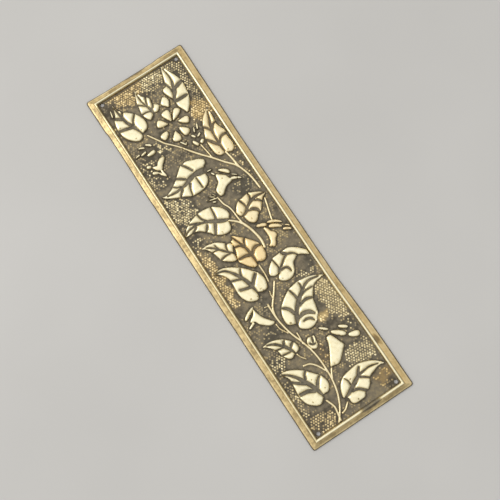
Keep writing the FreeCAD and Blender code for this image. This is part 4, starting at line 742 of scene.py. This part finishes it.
def dot_centres():
    # Rows of close-packed dots that drift a little: x, y, size and shine of each. Until the
    # dots to keep are known, the last column is each dot's chance.
    chance = random.Random(11)
    rows = []
    row_step = DOT_PITCH * math.sqrt(3) / 2
    width, length = FIELD_HIGH - FIELD_LOW
    for j in range(int(length / row_step)):
        for i in range(int(width / DOT_PITCH)):
            x = FIELD_LOW[0] + (i + 0.5 + 0.5 * (j % 2)) * DOT_PITCH + chance.uniform(-DOT_STRAY, DOT_STRAY)
            y = FIELD_LOW[1] + (j + 0.5) * row_step + chance.uniform(-DOT_STRAY, DOT_STRAY)
            rows.append((x, y, chance.uniform(*DOT_SIZES), chance.random()))
    dots = np.array(rows)
    dots[:, 0] += ROW_DRIFT * waves(dots[:, :2], 30, 73)
    dots[:, 1] += ROW_DRIFT * waves(dots[:, :2], 30, 74)
    share = stipple_map(dots[:, :2])[0]
    faint = FAINT_SHARE * smoothstep(-0.7, 0.5, waves(dots[:, :2], 24, 75))
    keep = np.maximum(share, faint) > dots[:, 3] * 0.9 + 0.06
    keep &= ~on_foliage(dots[:, :2], CLEAR_OF_FOLIAGE)
    keep &= ~near_hole(dots[:, :2], CLEAR_OF_HOLES)
    keep &= from_border(dots[:, :2]) > CLEAR_OF_BORDER
    dull = DOT_DULLNESS * np.random.default_rng(12).random(len(dots))
    dots[:, 3] = (FAINT_SHINE + (1 - FAINT_SHINE) * smoothstep(0.1, 0.6, share)) * (1 - dull)
    return dots[keep]


DOTS = dot_centres()


def dot_lift(points):
    # Share of a dot's height at each point, and how much of its shine shows there.
    lift = np.zeros(len(points))
    gleam = np.zeros(len(points))
    cells = {}
    for index, (x, y) in enumerate(points):
        cells.setdefault((int(x // 1), int(y // 1)), []).append(index)
    for x, y, grow, shine in DOTS:
        found = []
        for i in (-1, 0, 1):
            for j in (-1, 0, 1):
                found.extend(cells.get((int(x // 1) + i, int(y // 1) + j), ()))
        near = np.array(found, dtype=int)
        away = np.hypot(points[near, 0] - x, points[near, 1] - y)
        bump = np.clip(1 - (away / DOT_REACH) ** 2, 0, 1) * grow
        lift[near] = np.maximum(lift[near], bump)
        gleam[near] = np.maximum(gleam[near], shine * smoothstep(0.2, 0.75, bump))
    return lift, gleam


# Mesh points of the field
def thin(groups):
    # Keeps points in order of rank, each no closer to an earlier one than its own spacing.
    cell = 0.3
    taken = {}
    kept = []
    for points, spacing in groups:
        reach = int(math.ceil(spacing / cell))
        for x, y in points[from_border(points) > MESH_MARGIN]:
            i, j = int(x // cell), int(y // cell)
            if clear_of(taken, i, j, reach, x, y, spacing * spacing):
                taken.setdefault((i, j), []).append((x, y))
                kept.append((x, y))
    return np.array(kept)


def clear_of(taken, i, j, reach, x, y, limit):
    for di in range(-reach, reach + 1):
        for dj in range(-reach, reach + 1):
            for px, py in taken.get((i + di, j + dj), ()):
                if (px - x) ** 2 + (py - y) ** 2 < limit:
                    return False
    return True


def grid(spacing, jitter, seed):
    x = np.arange(FIELD_LOW[0], FIELD_HIGH[0], spacing)
    y = np.arange(FIELD_LOW[1], FIELD_HIGH[1], spacing)
    points = np.stack(np.meshgrid(x, y), axis=-1).reshape(-1, 2)
    return points + np.random.default_rng(seed).uniform(-jitter, jitter, points.shape)


def outline_lines(form, offsets):
    lines = []
    closed = np.vstack((form.outline[-1:], form.outline, form.outline[:1]))
    side = path_normals(closed)[1:-1]
    for offset in offsets:
        lines.append(form.outline + side * offset)
    return lines


def vein_lines(form):
    lines = []
    for vein in form.veins:
        side = path_normals(vein)
        lines.append(vein[:, :2])
        for extra in (0.0, 0.4):
            for sign in (-1, 1):
                lines.append(vein[:, :2] + side * sign * (vein[:, 2:] + extra))
    return lines


def front_points():
    ribs = []
    for path, half in STEM_PATHS:
        for place in (0.0, 0.6, -0.6, 1.0, -1.0, 1.35, -1.35):
            ribs.append(path + path_normals(path) * half * place)
    edges = []
    shoulders = []
    for form in FORMS:
        edges.extend(outline_lines(form, (0.0,)))
        edges.extend(vein_lines(form))
        shoulders.extend(outline_lines(form, (0.35, -0.35)))
    turn = np.arange(6) * math.pi / 3
    hexagon = np.stack((np.cos(turn), np.sin(turn)), axis=1)
    slopes = (DOTS[:, None, :2] + hexagon * DOT_SLOPE).reshape(-1, 2)
    feet = (DOTS[:, None, :2] + hexagon * DOT_FOOT).reshape(-1, 2)
    fine = grid(0.72, 0.12, 5)
    fine = fine[on_foliage(fine, 0.5)]
    ranked = [
        (np.vstack(ribs), 0.25),
        (np.vstack(edges), 0.25),
        (np.vstack(shoulders), 0.25),
        (DOTS[:, :2], 0.35),
        (slopes, 0.3),
        (feet, 0.34),
        (fine, 0.5),
        (grid(1.0, 0.2, 6), 0.7),
    ]
    return thin([(points[~near_hole(points, 0.3)], spacing) for points, spacing in ranked])


# Height, polish and golden tone of the front
def stained(points, polish_and_shade):
    # The polish, less the dark stains.
    for x, y, half_x, half_y, strength in STAINS:
        away = np.hypot((points[:, 0] - x) / half_x, (points[:, 1] - y) / half_y)
        polish_and_shade = polish_and_shade - strength * smoothstep(1.15, 0.6, away)
    return polish_and_shade


def ground_surface(points):
    share, valley, golden = stipple_map(points)
    edge = from_border(points)
    swell = sum(rise * waves(points, pitch, seed) for rise, pitch, seed in GROUND_WAVES)
    height = SHEET + swell * smoothstep(0, 3, edge)
    lift, gleam = dot_lift(points)
    height += lift * DOT_HEIGHT
    polish_and_shade = GROUND_POLISH + 0.06 * waves(points, 14, 6)
    for form in FORMS:
        index, within = form.near(points, HALO)
        polish_and_shade[index] = np.minimum(polish_and_shade[index], GROUND_POLISH * smoothstep(-0.1, -HALO, within))
    for path, half in STEM_PATHS:
        away = distance(points, path) - half
        polish_and_shade = np.minimum(polish_and_shade, GROUND_POLISH * smoothstep(0.0, 0.7 * HALO, away) + 0.04)
    polish_and_shade = polish_and_shade * smoothstep(-1.0, 0.8, edge)
    polish_and_shade += (valley - polish_and_shade) * smoothstep(0.0, 0.35, share)
    polish_and_shade = stained(points, polish_and_shade)
    polish_and_shade += gleam * (1.0 - polish_and_shade)
    return height, polish_and_shade, golden


def front_surface(points):
    height, polish_and_shade, golden = ground_surface(points)
    rise, ridge = stem_lift(points)
    raised = rise > 0
    height[raised] = SHEET + rise[raised]
    polish_and_shade[raised] = STEM_FOOT_POLISH + STEM_RIDGE_POLISH * smoothstep(0.1, 0.55, ridge[raised])
    golden[raised] = GROUND_GOLDEN
    best = np.where(raised, rise, 0.0)
    for form in FORMS:
        index, within = form.near(points, 0.0)
        from_veins = form.from_veins(points[index])
        depth = np.minimum(within + FULLNESS, from_veins + VEIN_FULLNESS)
        lobe = np.maximum(RELIEF * bulge(depth), VEIN_FLOOR * smoothstep(0.0, 1.0, within))
        better = lobe > best[index]
        index, depth, lobe, from_veins = index[better], depth[better], lobe[better], from_veins[better]
        best[index] = lobe
        height[index] = SHEET + lobe
        in_vein = 0.8 * GROUND_POLISH * smoothstep(-0.15, -0.8, from_veins)
        on_edge = EDGE_POLISH * smoothstep(0.06, 0.35, depth)
        on_dome = DOME_POLISH * smoothstep(0.4, 1.5, depth)
        polish_and_shade[index] = in_vein + on_edge + on_dome
        golden[index] = form.golden
    for x, y, radius in SPOTS:
        away = np.hypot(points[:, 0] - x, points[:, 1] - y)
        mark = smoothstep(1.0, 0.35, away / radius)
        polish_and_shade -= SPOT_DARKNESS * mark
        height -= SPOT_DEPTH * mark
    # Painted shade on the hole walls and round each hole
    polish_and_shade[near_hole(points, HOLE_SHADE_RIM)] = 0.0
    return height, np.clip(polish_and_shade, 0, 1), np.clip(golden, 0, 1)


# Border
def side_stops(half, step):
    count = int(round(2 * (half - CORNER_RADIUS) / step))
    inner = np.linspace(-half + CORNER_RADIUS, half - CORNER_RADIUS, count + 1)
    corner = CORNER_RADIUS * np.array((0.0, 0.35, 0.7))
    return np.concatenate((-half + corner, inner, half - corner[::-1])) / half


def unit_ring():
    # Stops round a square of half side 1, counter-clockwise from the lower left corner. Each
    # side ends where the next begins, so its last stop is left to the next.
    stops_x = side_stops(HALF_WIDTH, BORDER_STEP)[:-1]
    stops_y = side_stops(HALF_LENGTH, BORDER_STEP)[:-1]
    bottom = [(stop, -1.0) for stop in stops_x]
    right = [(1.0, stop) for stop in stops_y]
    top = [(-stop, 1.0) for stop in stops_x]
    left = [(-1.0, -stop) for stop in stops_y]
    return np.array(bottom + right + top + left)


UNIT_RING = unit_ring()


def inset_at(side, inset):
    # Distance in from the edge, on one side, of a line given on the plain section.
    crest, foot = SIDES[side]
    if inset <= CREST:
        return crest * inset / CREST
    return crest + (foot - crest) * (inset - CREST) / (FOOT - CREST)


def dent_depth(dent, place):
    depth, begins, deep_from, deep_to, ends = dent
    return depth * smoothstep(ends, deep_to, place) * smoothstep(begins, deep_from, place)


def dents(ring, flat):
    # How far the outer edge is knocked in along the top and high on the left side.
    top = dent_depth(TOP_DENT, flat[:, 0])
    left = dent_depth(LEFT_DENT, flat[:, 1])
    return np.stack((left * (ring[:, 0] == -1.0), -top * (ring[:, 1] == 1.0)), axis=1)


def ring_at(inset, wobble=0.0):
    # Closed line of the border, drawn in unevenly by as much as the wobble.
    low = np.array((inset_at("left", inset) - HALF_WIDTH, inset_at("bottom", inset) - HALF_LENGTH))
    high = np.array((HALF_WIDTH - inset_at("right", inset), HALF_LENGTH - inset_at("top", inset)))
    half = (high - low) / 2
    ring = half * UNIT_RING
    rounding = CORNER_RADIUS - ROUNDING_LOSS * inset
    if rounding > 0:
        inner = half - rounding
        over = np.abs(ring) - inner
        corner = np.all(over > 0, axis=1)
        over[corner] *= (rounding / np.hypot(over[corner, 0], over[corner, 1]))[:, None]
        ring[corner] = np.sign(ring[corner]) * (inner + over[corner])
    flat = ring + (low + high) / 2
    outer = max(0.0, 1 - inset / CREST)
    bow = (INNER_BOW + (SIDE_BOW - INNER_BOW) * outer) * bow_at(flat[:, 1])
    flat[:, 0] -= np.clip(UNIT_RING[:, 0], 0, 1) ** 3 * bow
    flat += outer * dents(UNIT_RING, flat)
    inward = -np.sign(flat) * (np.abs(flat) > np.array((HALF_WIDTH, HALF_LENGTH)) * WOBBLE_ZONE)
    drawn = wobble * np.clip(0.5 + 0.5 * waves(flat, 34, 21), 0, 1)
    return flat + inward * drawn[:, None]


class Sheet:
    """Collects the vertices, faces and finish values of the plate's mesh."""

    def __init__(self):
        self.points = []
        self.polish_and_shade = []
        self.golden = []
        self.faces = []

    def add(self, flat, height, polish_and_shade, golden):
        first = len(self.points)
        count = len(flat)
        self.points.extend(np.column_stack((flat, np.broadcast_to(height, count))).tolist())
        self.polish_and_shade.extend(np.broadcast_to(polish_and_shade, count).tolist())
        self.golden.extend(np.broadcast_to(golden, count).tolist())
        return np.arange(first, first + count)

    def strip(self, outer, inner):
        # Quads between two closed lines of as many points.
        after = np.roll(np.arange(len(outer)), -1)
        for k, n in enumerate(after):
            self.faces.append((outer[k], outer[n], inner[n], inner[k]))


# Each line of the front border: distance in from the edge on the plain section, height, share
# of its side's painted bevel light and shade, and the polish and golden tone that it has otherwise. The
# outermost lines have no polish: a painted shade along the plate's edge.
FRONT_LINES = [
    (0.0, 0.0, 0.0, 0.0, 0.5),
    (0.0, 0.45, 0.0, 0.0, 0.5),
    (0.12, 0.7, 0.0, 0.0, 0.5),
    (0.28, 0.88, 0.0, 0.02, 0.5),
    (0.48, 1.0, 0.5, 0.7, 0.2),
    (0.78, 1.16, 0.6, 0.97, 0.15),
    (1.3, 1.44, 1.0, 0.0, 0.0),
    (1.9, 1.75, 1.0, 0.0, 0.0),
    (2.5, 2.04, 1.0, 0.0, 0.0),
    (2.78, 2.14, 0.8, 0.5, 0.5),
    (2.98, 2.16, 0.2, 0.4, 0.5),
    (3.15, 2.32, 0.0, 0.7, 0.2),
    (3.36, 2.67, 0.0, 1.0, 0.0),
    (3.65, 2.8, 0.0, 1.0, 0.0),
    (3.9, 2.78, 0.0, 1.0, 0.0),
    (4.3, 2.62, 0.0, 1.0, 0.0),
    (4.7, 2.34, 0.0, 0.98, 0.0),
    (5.05, 1.98, 0.0, 0.92, 0.05),
    (5.35, 1.45, 0.0, 0.76, 0.2),
    (5.6, 0.92, 0.0, 0.38, 0.3),
]
# Painted light and shade on each side's bevel, lighter or darker as that side faces the light: its polish
# and golden tone, and the share of polish left on its other lines
BEVEL_PAINTED_LIGHT = {
    "left": (0.56, 0.34, 0.82), "right": (0.75, 0.58, 1.0),
    "bottom": (0.51, 0.28, 1.0), "top": (0.58, 0.4, 1.0),
}
# Distance in from the edge and height of each line of the back, from the rim inwards
BACK_LINES = [
    (0.6, 0.0), (1.3, 0.5), (2.3, 1.25), (3.2, 1.92), (3.5, 2.05), (3.82, 2.02), (4.2, 1.6), (4.8, 0.8),
]
BACK_INSET = FOOT - 0.4
BACK_POLISH = 0.35
BACK_GOLDEN = 0.5
HOLE_SIDES = 20
# Edges bent by more than this many degrees stay sharp.
SHARP_ANGLE = 60


def hole_rings():
    turn = np.arange(HOLE_SIDES) * 2 * math.pi / HOLE_SIDES
    circle = np.stack((np.cos(turn), np.sin(turn)), axis=1) * HOLE_RADIUS
    return [centre + circle for centre in hole_centres()]


def triangulated(boundary, holes, inner):
    # Triangles that fill the boundary, also where it bows in, leaving the holes open.
    points = np.vstack([boundary] + holes + [inner])
    edges = [(k, (k + 1) % len(boundary)) for k in range(len(boundary))]
    owner = np.full(len(points), -1)
    start = len(boundary)
    for number, ring in enumerate(holes):
        owner[start:start + len(ring)] = number
        edges += [(start + k, start + (k + 1) % len(ring)) for k in range(len(ring))]
        start += len(ring)
    result = delaunay_2d_cdt([Vector(point) for point in points], edges, [], 0, 1e-7)
    places, faces, origin = result[0], result[2], result[3]
    if len(places) != len(points):
        raise RuntimeError("the triangulation added or merged points")
    old = np.array([found[0] for found in origin])
    corners = old[np.array(faces)]
    within = inside(points[corners].mean(axis=1), boundary)
    owners = owner[corners]
    in_hole = (owners[:, 0] >= 0) & np.all(owners == owners[:, :1], axis=1)
    return points, corners[within & ~in_hole].tolist()


def back_surface(points):
    # Shallow hollows behind the forms, clear of the grooves in front.
    height = np.zeros(len(points))
    for form in FORMS:
        index, within = form.near(points, 0.0)
        height[index] = np.maximum(height[index], HOLLOW_DEPTH * bulge(within - HOLLOW_INSET))
    return height


def back_points():
    lines = []
    for form in FORMS:
        lines.extend(outline_lines(form, (0.6, 1.2)))
    fine = grid(1.5, 0.1, 7)
    ranked = [(np.vstack(lines), 0.7), (fine[on_foliage(fine, 0.0)], 0.9), (grid(2.4, 0.2, 8), 1.4)]
    return thin([(points[~near_hole(points, 0.5)], spacing) for points, spacing in ranked])


def bevel_painted_light():
    # Painted side light and shade at each stop of the border: polish and golden tone of the bevel, and
    # share of polish elsewhere.
    places = {"left": UNIT_RING[:, 0] == -1, "right": UNIT_RING[:, 0] == 1,
              "bottom": UNIT_RING[:, 1] == -1, "top": UNIT_RING[:, 1] == 1}
    side_light = np.zeros((len(UNIT_RING), 3))
    for side, shading in BEVEL_PAINTED_LIGHT.items():
        side_light[places[side]] = shading
    return side_light


def add_front(plate, holes):
    lines = []
    side_light = bevel_painted_light()
    for number, (inset, z, share, polish_and_shade, golden) in enumerate(FRONT_LINES):
        flat = ring_at(inset, OUTER_WOBBLE if inset < BEAD_START else INNER_WOBBLE)
        # Painted light and shade: each side's bevel and its other lines are lighter or darker as that side
        # faces the light.
        bright = polish_and_shade * side_light[:, 2] * (1 - share) + side_light[:, 0] * share
        worn_and_shaded = bright + BORDER_WEAR * waves(flat, 17, 31 + number // 3)
        warm = golden * (1 - share) + side_light[:, 1] * share
        lines.append(plate.add(flat, z, stained(flat, worn_and_shaded), warm))
    for outer, inner in zip(lines, lines[1:]):
        plate.strip(outer, inner)
    edge = ring_at(FOOT)
    flat, triangles = triangulated(edge, holes, front_points())
    height, polish_and_shade, golden = front_surface(flat)
    height[:len(edge)] = SHEET
    polish_and_shade[:len(edge)] = FOOT_POLISH
    front = plate.add(flat, np.minimum(height, TOP), polish_and_shade, golden)
    for corners in triangles:
        plate.faces.append([front[k] for k in corners])
    plate.strip(lines[-1], front[:len(edge)])
    return lines[0], front[len(edge):]


def add_back(plate, holes, rim):
    lines = [rim]
    for inset, z in BACK_LINES:
        lines.append(plate.add(ring_at(inset), z, BACK_POLISH, BACK_GOLDEN))
    for outer, inner in zip(lines, lines[1:]):
        plate.strip(inner, outer)
    edge = ring_at(BACK_INSET)
    flat, triangles = triangulated(edge, holes, back_points())
    height = back_surface(flat)
    height[:len(edge) + len(holes) * HOLE_SIDES] = 0.0
    polish_and_shade = BACK_POLISH + 0.1 * waves(flat, 22, 51)
    # Painted shade on the hole walls and round each hole
    polish_and_shade[near_hole(flat, HOLE_SHADE_RIM)] = 0.0
    back = plate.add(flat, height, polish_and_shade, BACK_GOLDEN)
    for corners in triangles:
        plate.faces.append([back[k] for k in corners[::-1]])
    plate.strip(back[:len(edge)], lines[-1])
    return back[len(edge):]


def build_plate():
    plate = Sheet()
    holes = hole_rings()
    rim, front = add_front(plate, holes)
    back = add_back(plate, holes, rim)
    for number in range(len(holes)):
        wall = slice(number * HOLE_SIDES, (number + 1) * HOLE_SIDES)
        plate.strip(front[wall], back[wall])
    return plate


def plate_object(plate, material):
    mesh = bpy.data.meshes.new("finger_plate_sheet")
    middle = (np.array(low_corner) + np.array(high_corner)) / 2
    middle[2] = low_corner[2]
    places = np.array(plate.points) / 1000 + middle
    mesh.from_pydata(places.tolist(), [], [tuple(int(k) for k in face) for face in plate.faces])
    # The polish attribute holds polish and wear, with painted shade at the plate's edge, the hole walls and
    # the bevels of the shaded sides.
    for name, values in (("polish_and_shade", plate.polish_and_shade), ("golden", plate.golden)):
        layer = mesh.attributes.new(name, "FLOAT", "POINT")
        layer.data.foreach_set("value", np.clip(values, 0, 1).astype(np.float32))
    mesh.materials.append(material)
    mesh.shade_smooth()
    mesh.set_sharp_from_angle(angle=math.radians(SHARP_ANGLE))
    piece = bpy.data.objects.new("finger_plate_sheet", mesh)
    bpy.context.scene.collection.objects.link(piece)
    return piece


# Brass
# Its noises: scale, detail and roughness
GRIME = (420, 4, 0.6)
CLOUD = (60, 3, 0.55)
SPECK = (1700, 2, 0.5)
# How much grime and cloud change the polish, and specks the roughness
GRIME_AMOUNT = 0.55
CLOUD_AMOUNT = 0.35
SPECK_AMOUNT = 0.16
# Colours from dark tarnish and painted shade to bright polish, and the tint of golden places with its
# strength
BRASS_TONES = [
    (0.0, (0.081, 0.069, 0.046)),
    (0.22, (0.208, 0.180, 0.125)),
    (0.48, (0.38, 0.31, 0.17)),
    (0.72, (0.74, 0.63, 0.36)),
    (1.0, (0.93, 0.86, 0.60)),
]
GOLD_TINT = (0.90, 0.66, 0.36)
GOLD_STRENGTH = 0.85
# Roughness of tarnished and of polished brass
DULL_ROUGHNESS = 0.62
BRIGHT_ROUGHNESS = 0.27
# Metallic share of tarnish; polished brass is all metal
TARNISH_METAL = 0.35
BUMP_STRENGTH = 0.35
BUMP_METRES = 0.00025


def node_tree(owner):
    # The empty node tree of a material or of the world.
    owner.use_nodes = True
    tree = owner.node_tree
    tree.nodes.clear()
    return tree


def to_output(tree, kind, surface):
    output = tree.nodes.new(kind)
    tree.links.new(surface, output.inputs["Surface"])


def ramp_node(tree, stops):
    ramp = tree.nodes.new("ShaderNodeValToRGB")
    elements = ramp.color_ramp.elements
    while len(elements) < len(stops):
        elements.new(0.5)
    for element, (position, colour) in zip(elements, stops):
        element.position = position
        element.color = (*colour, 1.0)
    return ramp


def noise_node(tree, place, scale, detail, roughness):
    noise = tree.nodes.new("ShaderNodeTexNoise")
    noise.inputs["Scale"].default_value = scale
    noise.inputs["Detail"].default_value = detail
    noise.inputs["Roughness"].default_value = roughness
    tree.links.new(place, noise.inputs["Vector"])
    return noise.outputs["Fac"]


def maths(tree, operation, first, second, clamp=False):
    node = tree.nodes.new("ShaderNodeMath")
    node.operation = operation
    node.use_clamp = clamp
    for socket, value in zip(node.inputs, (first, second)):
        if isinstance(value, (int, float)):
            socket.default_value = value
        else:
            tree.links.new(value, socket)
    return node.outputs[0]


def centred(tree, noise, amount):
    # The noise about zero, times the amount.
    return maths(tree, "MULTIPLY", maths(tree, "SUBTRACT", noise, 0.5), amount)


def map_range(tree, value, from_low, from_high, to_low, to_high):
    node = tree.nodes.new("ShaderNodeMapRange")
    node.inputs["From Min"].default_value = from_low
    node.inputs["From Max"].default_value = from_high
    node.inputs["To Min"].default_value = to_low
    node.inputs["To Max"].default_value = to_high
    tree.links.new(value, node.inputs["Value"])
    return node.outputs["Result"]


def mix_colour(tree, blend, factor, first, second):
    node = tree.nodes.new("ShaderNodeMix")
    node.data_type = "RGBA"
    node.blend_type = blend
    colour_inputs = [socket for socket in node.inputs if socket.type == "RGBA"]
    factor_input = [socket for socket in node.inputs if socket.type == "VALUE"][0]
    for socket, value in ((factor_input, factor), (colour_inputs[0], first), (colour_inputs[1], second)):
        if isinstance(value, (int, float)):
            socket.default_value = value
        elif isinstance(value, tuple):
            socket.default_value = (*value, 1.0)
        else:
            tree.links.new(value, socket)
    return [socket for socket in node.outputs if socket.type == "RGBA"][0]


def attribute(tree, name):
    node = tree.nodes.new("ShaderNodeAttribute")
    node.attribute_name = name
    return node.outputs["Fac"]


def brass_material():
    material = bpy.data.materials.new("aged_brass")
    tree = node_tree(material)
    place = tree.nodes.new("ShaderNodeTexCoord").outputs["Object"]
    polish_and_shade = attribute(tree, "polish_and_shade")
    golden = attribute(tree, "golden")
    grime = noise_node(tree, place, *GRIME)
    cloud = noise_node(tree, place, *CLOUD)
    speck = noise_node(tree, place, *SPECK)
    # Worn polish with its painted shade: the modelled value, made uneven by grime and in patches
    uneven = maths(tree, "ADD", polish_and_shade, centred(tree, grime, GRIME_AMOUNT))
    worn_and_shaded = maths(tree, "ADD", uneven, centred(tree, cloud, CLOUD_AMOUNT), clamp=True)
    ramp = ramp_node(tree, BRASS_TONES)
    tree.links.new(worn_and_shaded, ramp.inputs["Fac"])
    gilding = maths(tree, "MULTIPLY", golden, GOLD_STRENGTH, clamp=True)
    tinted = mix_colour(tree, "MULTIPLY", gilding, ramp.outputs["Color"], GOLD_TINT)
    shader = tree.nodes.new("ShaderNodeBsdfPrincipled")
    tree.links.new(tinted, shader.inputs["Base Color"])
    tree.links.new(map_range(tree, worn_and_shaded, 0.08, 0.5, TARNISH_METAL, 1.0), shader.inputs["Metallic"])
    even = map_range(tree, worn_and_shaded, 0.0, 1.0, DULL_ROUGHNESS, BRIGHT_ROUGHNESS)
    roughness = maths(tree, "ADD", even, centred(tree, speck, SPECK_AMOUNT), clamp=True)
    tree.links.new(roughness, shader.inputs["Roughness"])
    bump = tree.nodes.new("ShaderNodeBump")
    bump.inputs["Strength"].default_value = BUMP_STRENGTH
    bump.inputs["Distance"].default_value = BUMP_METRES
    relief = maths(tree, "ADD", maths(tree, "MULTIPLY", grime, 0.7), maths(tree, "MULTIPLY", speck, 0.3))
    tree.links.new(relief, bump.inputs["Height"])
    tree.links.new(bump.outputs["Normal"], shader.inputs["Normal"])
    to_output(tree, "ShaderNodeOutputMaterial", shader.outputs["BSDF"])
    return material


# Floor
FLOOR_TONES = [(0.35, (0.51, 0.505, 0.491)), (0.65, (0.543, 0.538, 0.524))]
FLOOR_NOISE = (5, 3, 0.5)
FLOOR_ROUGHNESS = 0.8
FLOOR_REACH = 3.0
# Metres from the floor up to the back of the plate
FLOOR_GAP = 0.0002


def floor_material():
    material = bpy.data.materials.new("pale_floor")
    tree = node_tree(material)
    place = tree.nodes.new("ShaderNodeTexCoord").outputs["Object"]
    ramp = ramp_node(tree, FLOOR_TONES)
    tree.links.new(noise_node(tree, place, *FLOOR_NOISE), ramp.inputs["Fac"])
    shader = tree.nodes.new("ShaderNodeBsdfPrincipled")
    tree.links.new(ramp.outputs["Color"], shader.inputs["Base Color"])
    shader.inputs["Roughness"].default_value = FLOOR_ROUGHNESS
    to_output(tree, "ShaderNodeOutputMaterial", shader.outputs["BSDF"])
    return material


def add_floor():
    mesh = bpy.data.meshes.new("floor")
    signs = ((-1, -1), (1, -1), (1, 1), (-1, 1))
    corners = [(FLOOR_REACH * x, FLOOR_REACH * y, 0) for x, y in signs]
    mesh.from_pydata(corners, [], [(0, 1, 2, 3)])
    mesh.materials.append(floor_material())
    floor = bpy.data.objects.new("floor", mesh)
    bpy.context.scene.collection.objects.link(floor)
    floor.location.z = low_corner[2] - FLOOR_GAP


# Light
def add_area(name, place, aim, size, power, colour):
    lamp = bpy.data.lights.new(name, "AREA")
    lamp.shape = "DISK"
    lamp.size = size
    lamp.energy = power
    lamp.color = colour
    holder = bpy.data.objects.new(name, lamp)
    holder.location = place
    holder.rotation_euler = (Vector(aim) - Vector(place)).to_track_quat("-Z", "Y").to_euler()
    bpy.context.scene.collection.objects.link(holder)


# Soft sky, brightest overhead and towards the upper left: how its level grows along each axis,
# and the levels that have the least and the full strength
SKY_SLOPE = {"X": -0.36, "Y": 0.30, "Z": 0.62}
SKY_LEVELS = (-0.45, 0.62)
SKY_STRENGTHS = (0.28, 1.12)
SKY_COLOUR = (1.0, 0.985, 0.96, 1.0)


def add_world():
    world = bpy.data.worlds.new("soft_sky")
    bpy.context.scene.world = world
    tree = node_tree(world)
    direction = tree.nodes.new("ShaderNodeTexCoord").outputs["Generated"]
    split = tree.nodes.new("ShaderNodeSeparateXYZ")
    tree.links.new(direction, split.inputs[0])
    x, y, z = [maths(tree, "MULTIPLY", split.outputs[axis], slope) for axis, slope in SKY_SLOPE.items()]
    level = maths(tree, "ADD", maths(tree, "ADD", x, y), z)
    strength = map_range(tree, level, *SKY_LEVELS, *SKY_STRENGTHS)
    background = tree.nodes.new("ShaderNodeBackground")
    background.inputs["Color"].default_value = SKY_COLOUR
    tree.links.new(strength, background.inputs["Strength"])
    to_output(tree, "ShaderNodeOutputWorld", background.outputs[0])


# Camera: sensor and lens in millimetres, place in metres, and the ways it looks and stands
SENSOR_WIDTH = 36.0
LENS = 64.8
CAMERA_PLACE = (-0.044605, -0.106144, 0.577407)
CAMERA_FORWARD = (0.07448, 0.16686, -0.98316)
CAMERA_UP = (0.54454, 0.81914, 0.18027)


def add_camera():
    data = bpy.data.cameras.new("camera")
    data.sensor_width = SENSOR_WIDTH
    data.lens = LENS
    camera = bpy.data.objects.new("camera", data)
    forward = Vector(CAMERA_FORWARD).normalized()
    right = forward.cross(Vector(CAMERA_UP)).normalized()
    up = right.cross(forward)
    turn = Matrix((right, up, -forward)).transposed().to_4x4()
    camera.matrix_world = Matrix.Translation(Vector(CAMERA_PLACE)) @ turn
    bpy.context.scene.collection.objects.link(camera)
    bpy.context.scene.camera = camera


plate = plate_object(build_plate(), brass_material())
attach(plate, "root")
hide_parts(NODE)
add_floor()
add_world()
add_area("window", place=(-0.55, 0.5, 0.75), aim=(0, 0, 0), size=0.5, power=2.0, colour=(1.0, 0.98, 0.95))
add_camera()
bpy.context.scene.view_settings.view_transform = "Standard"
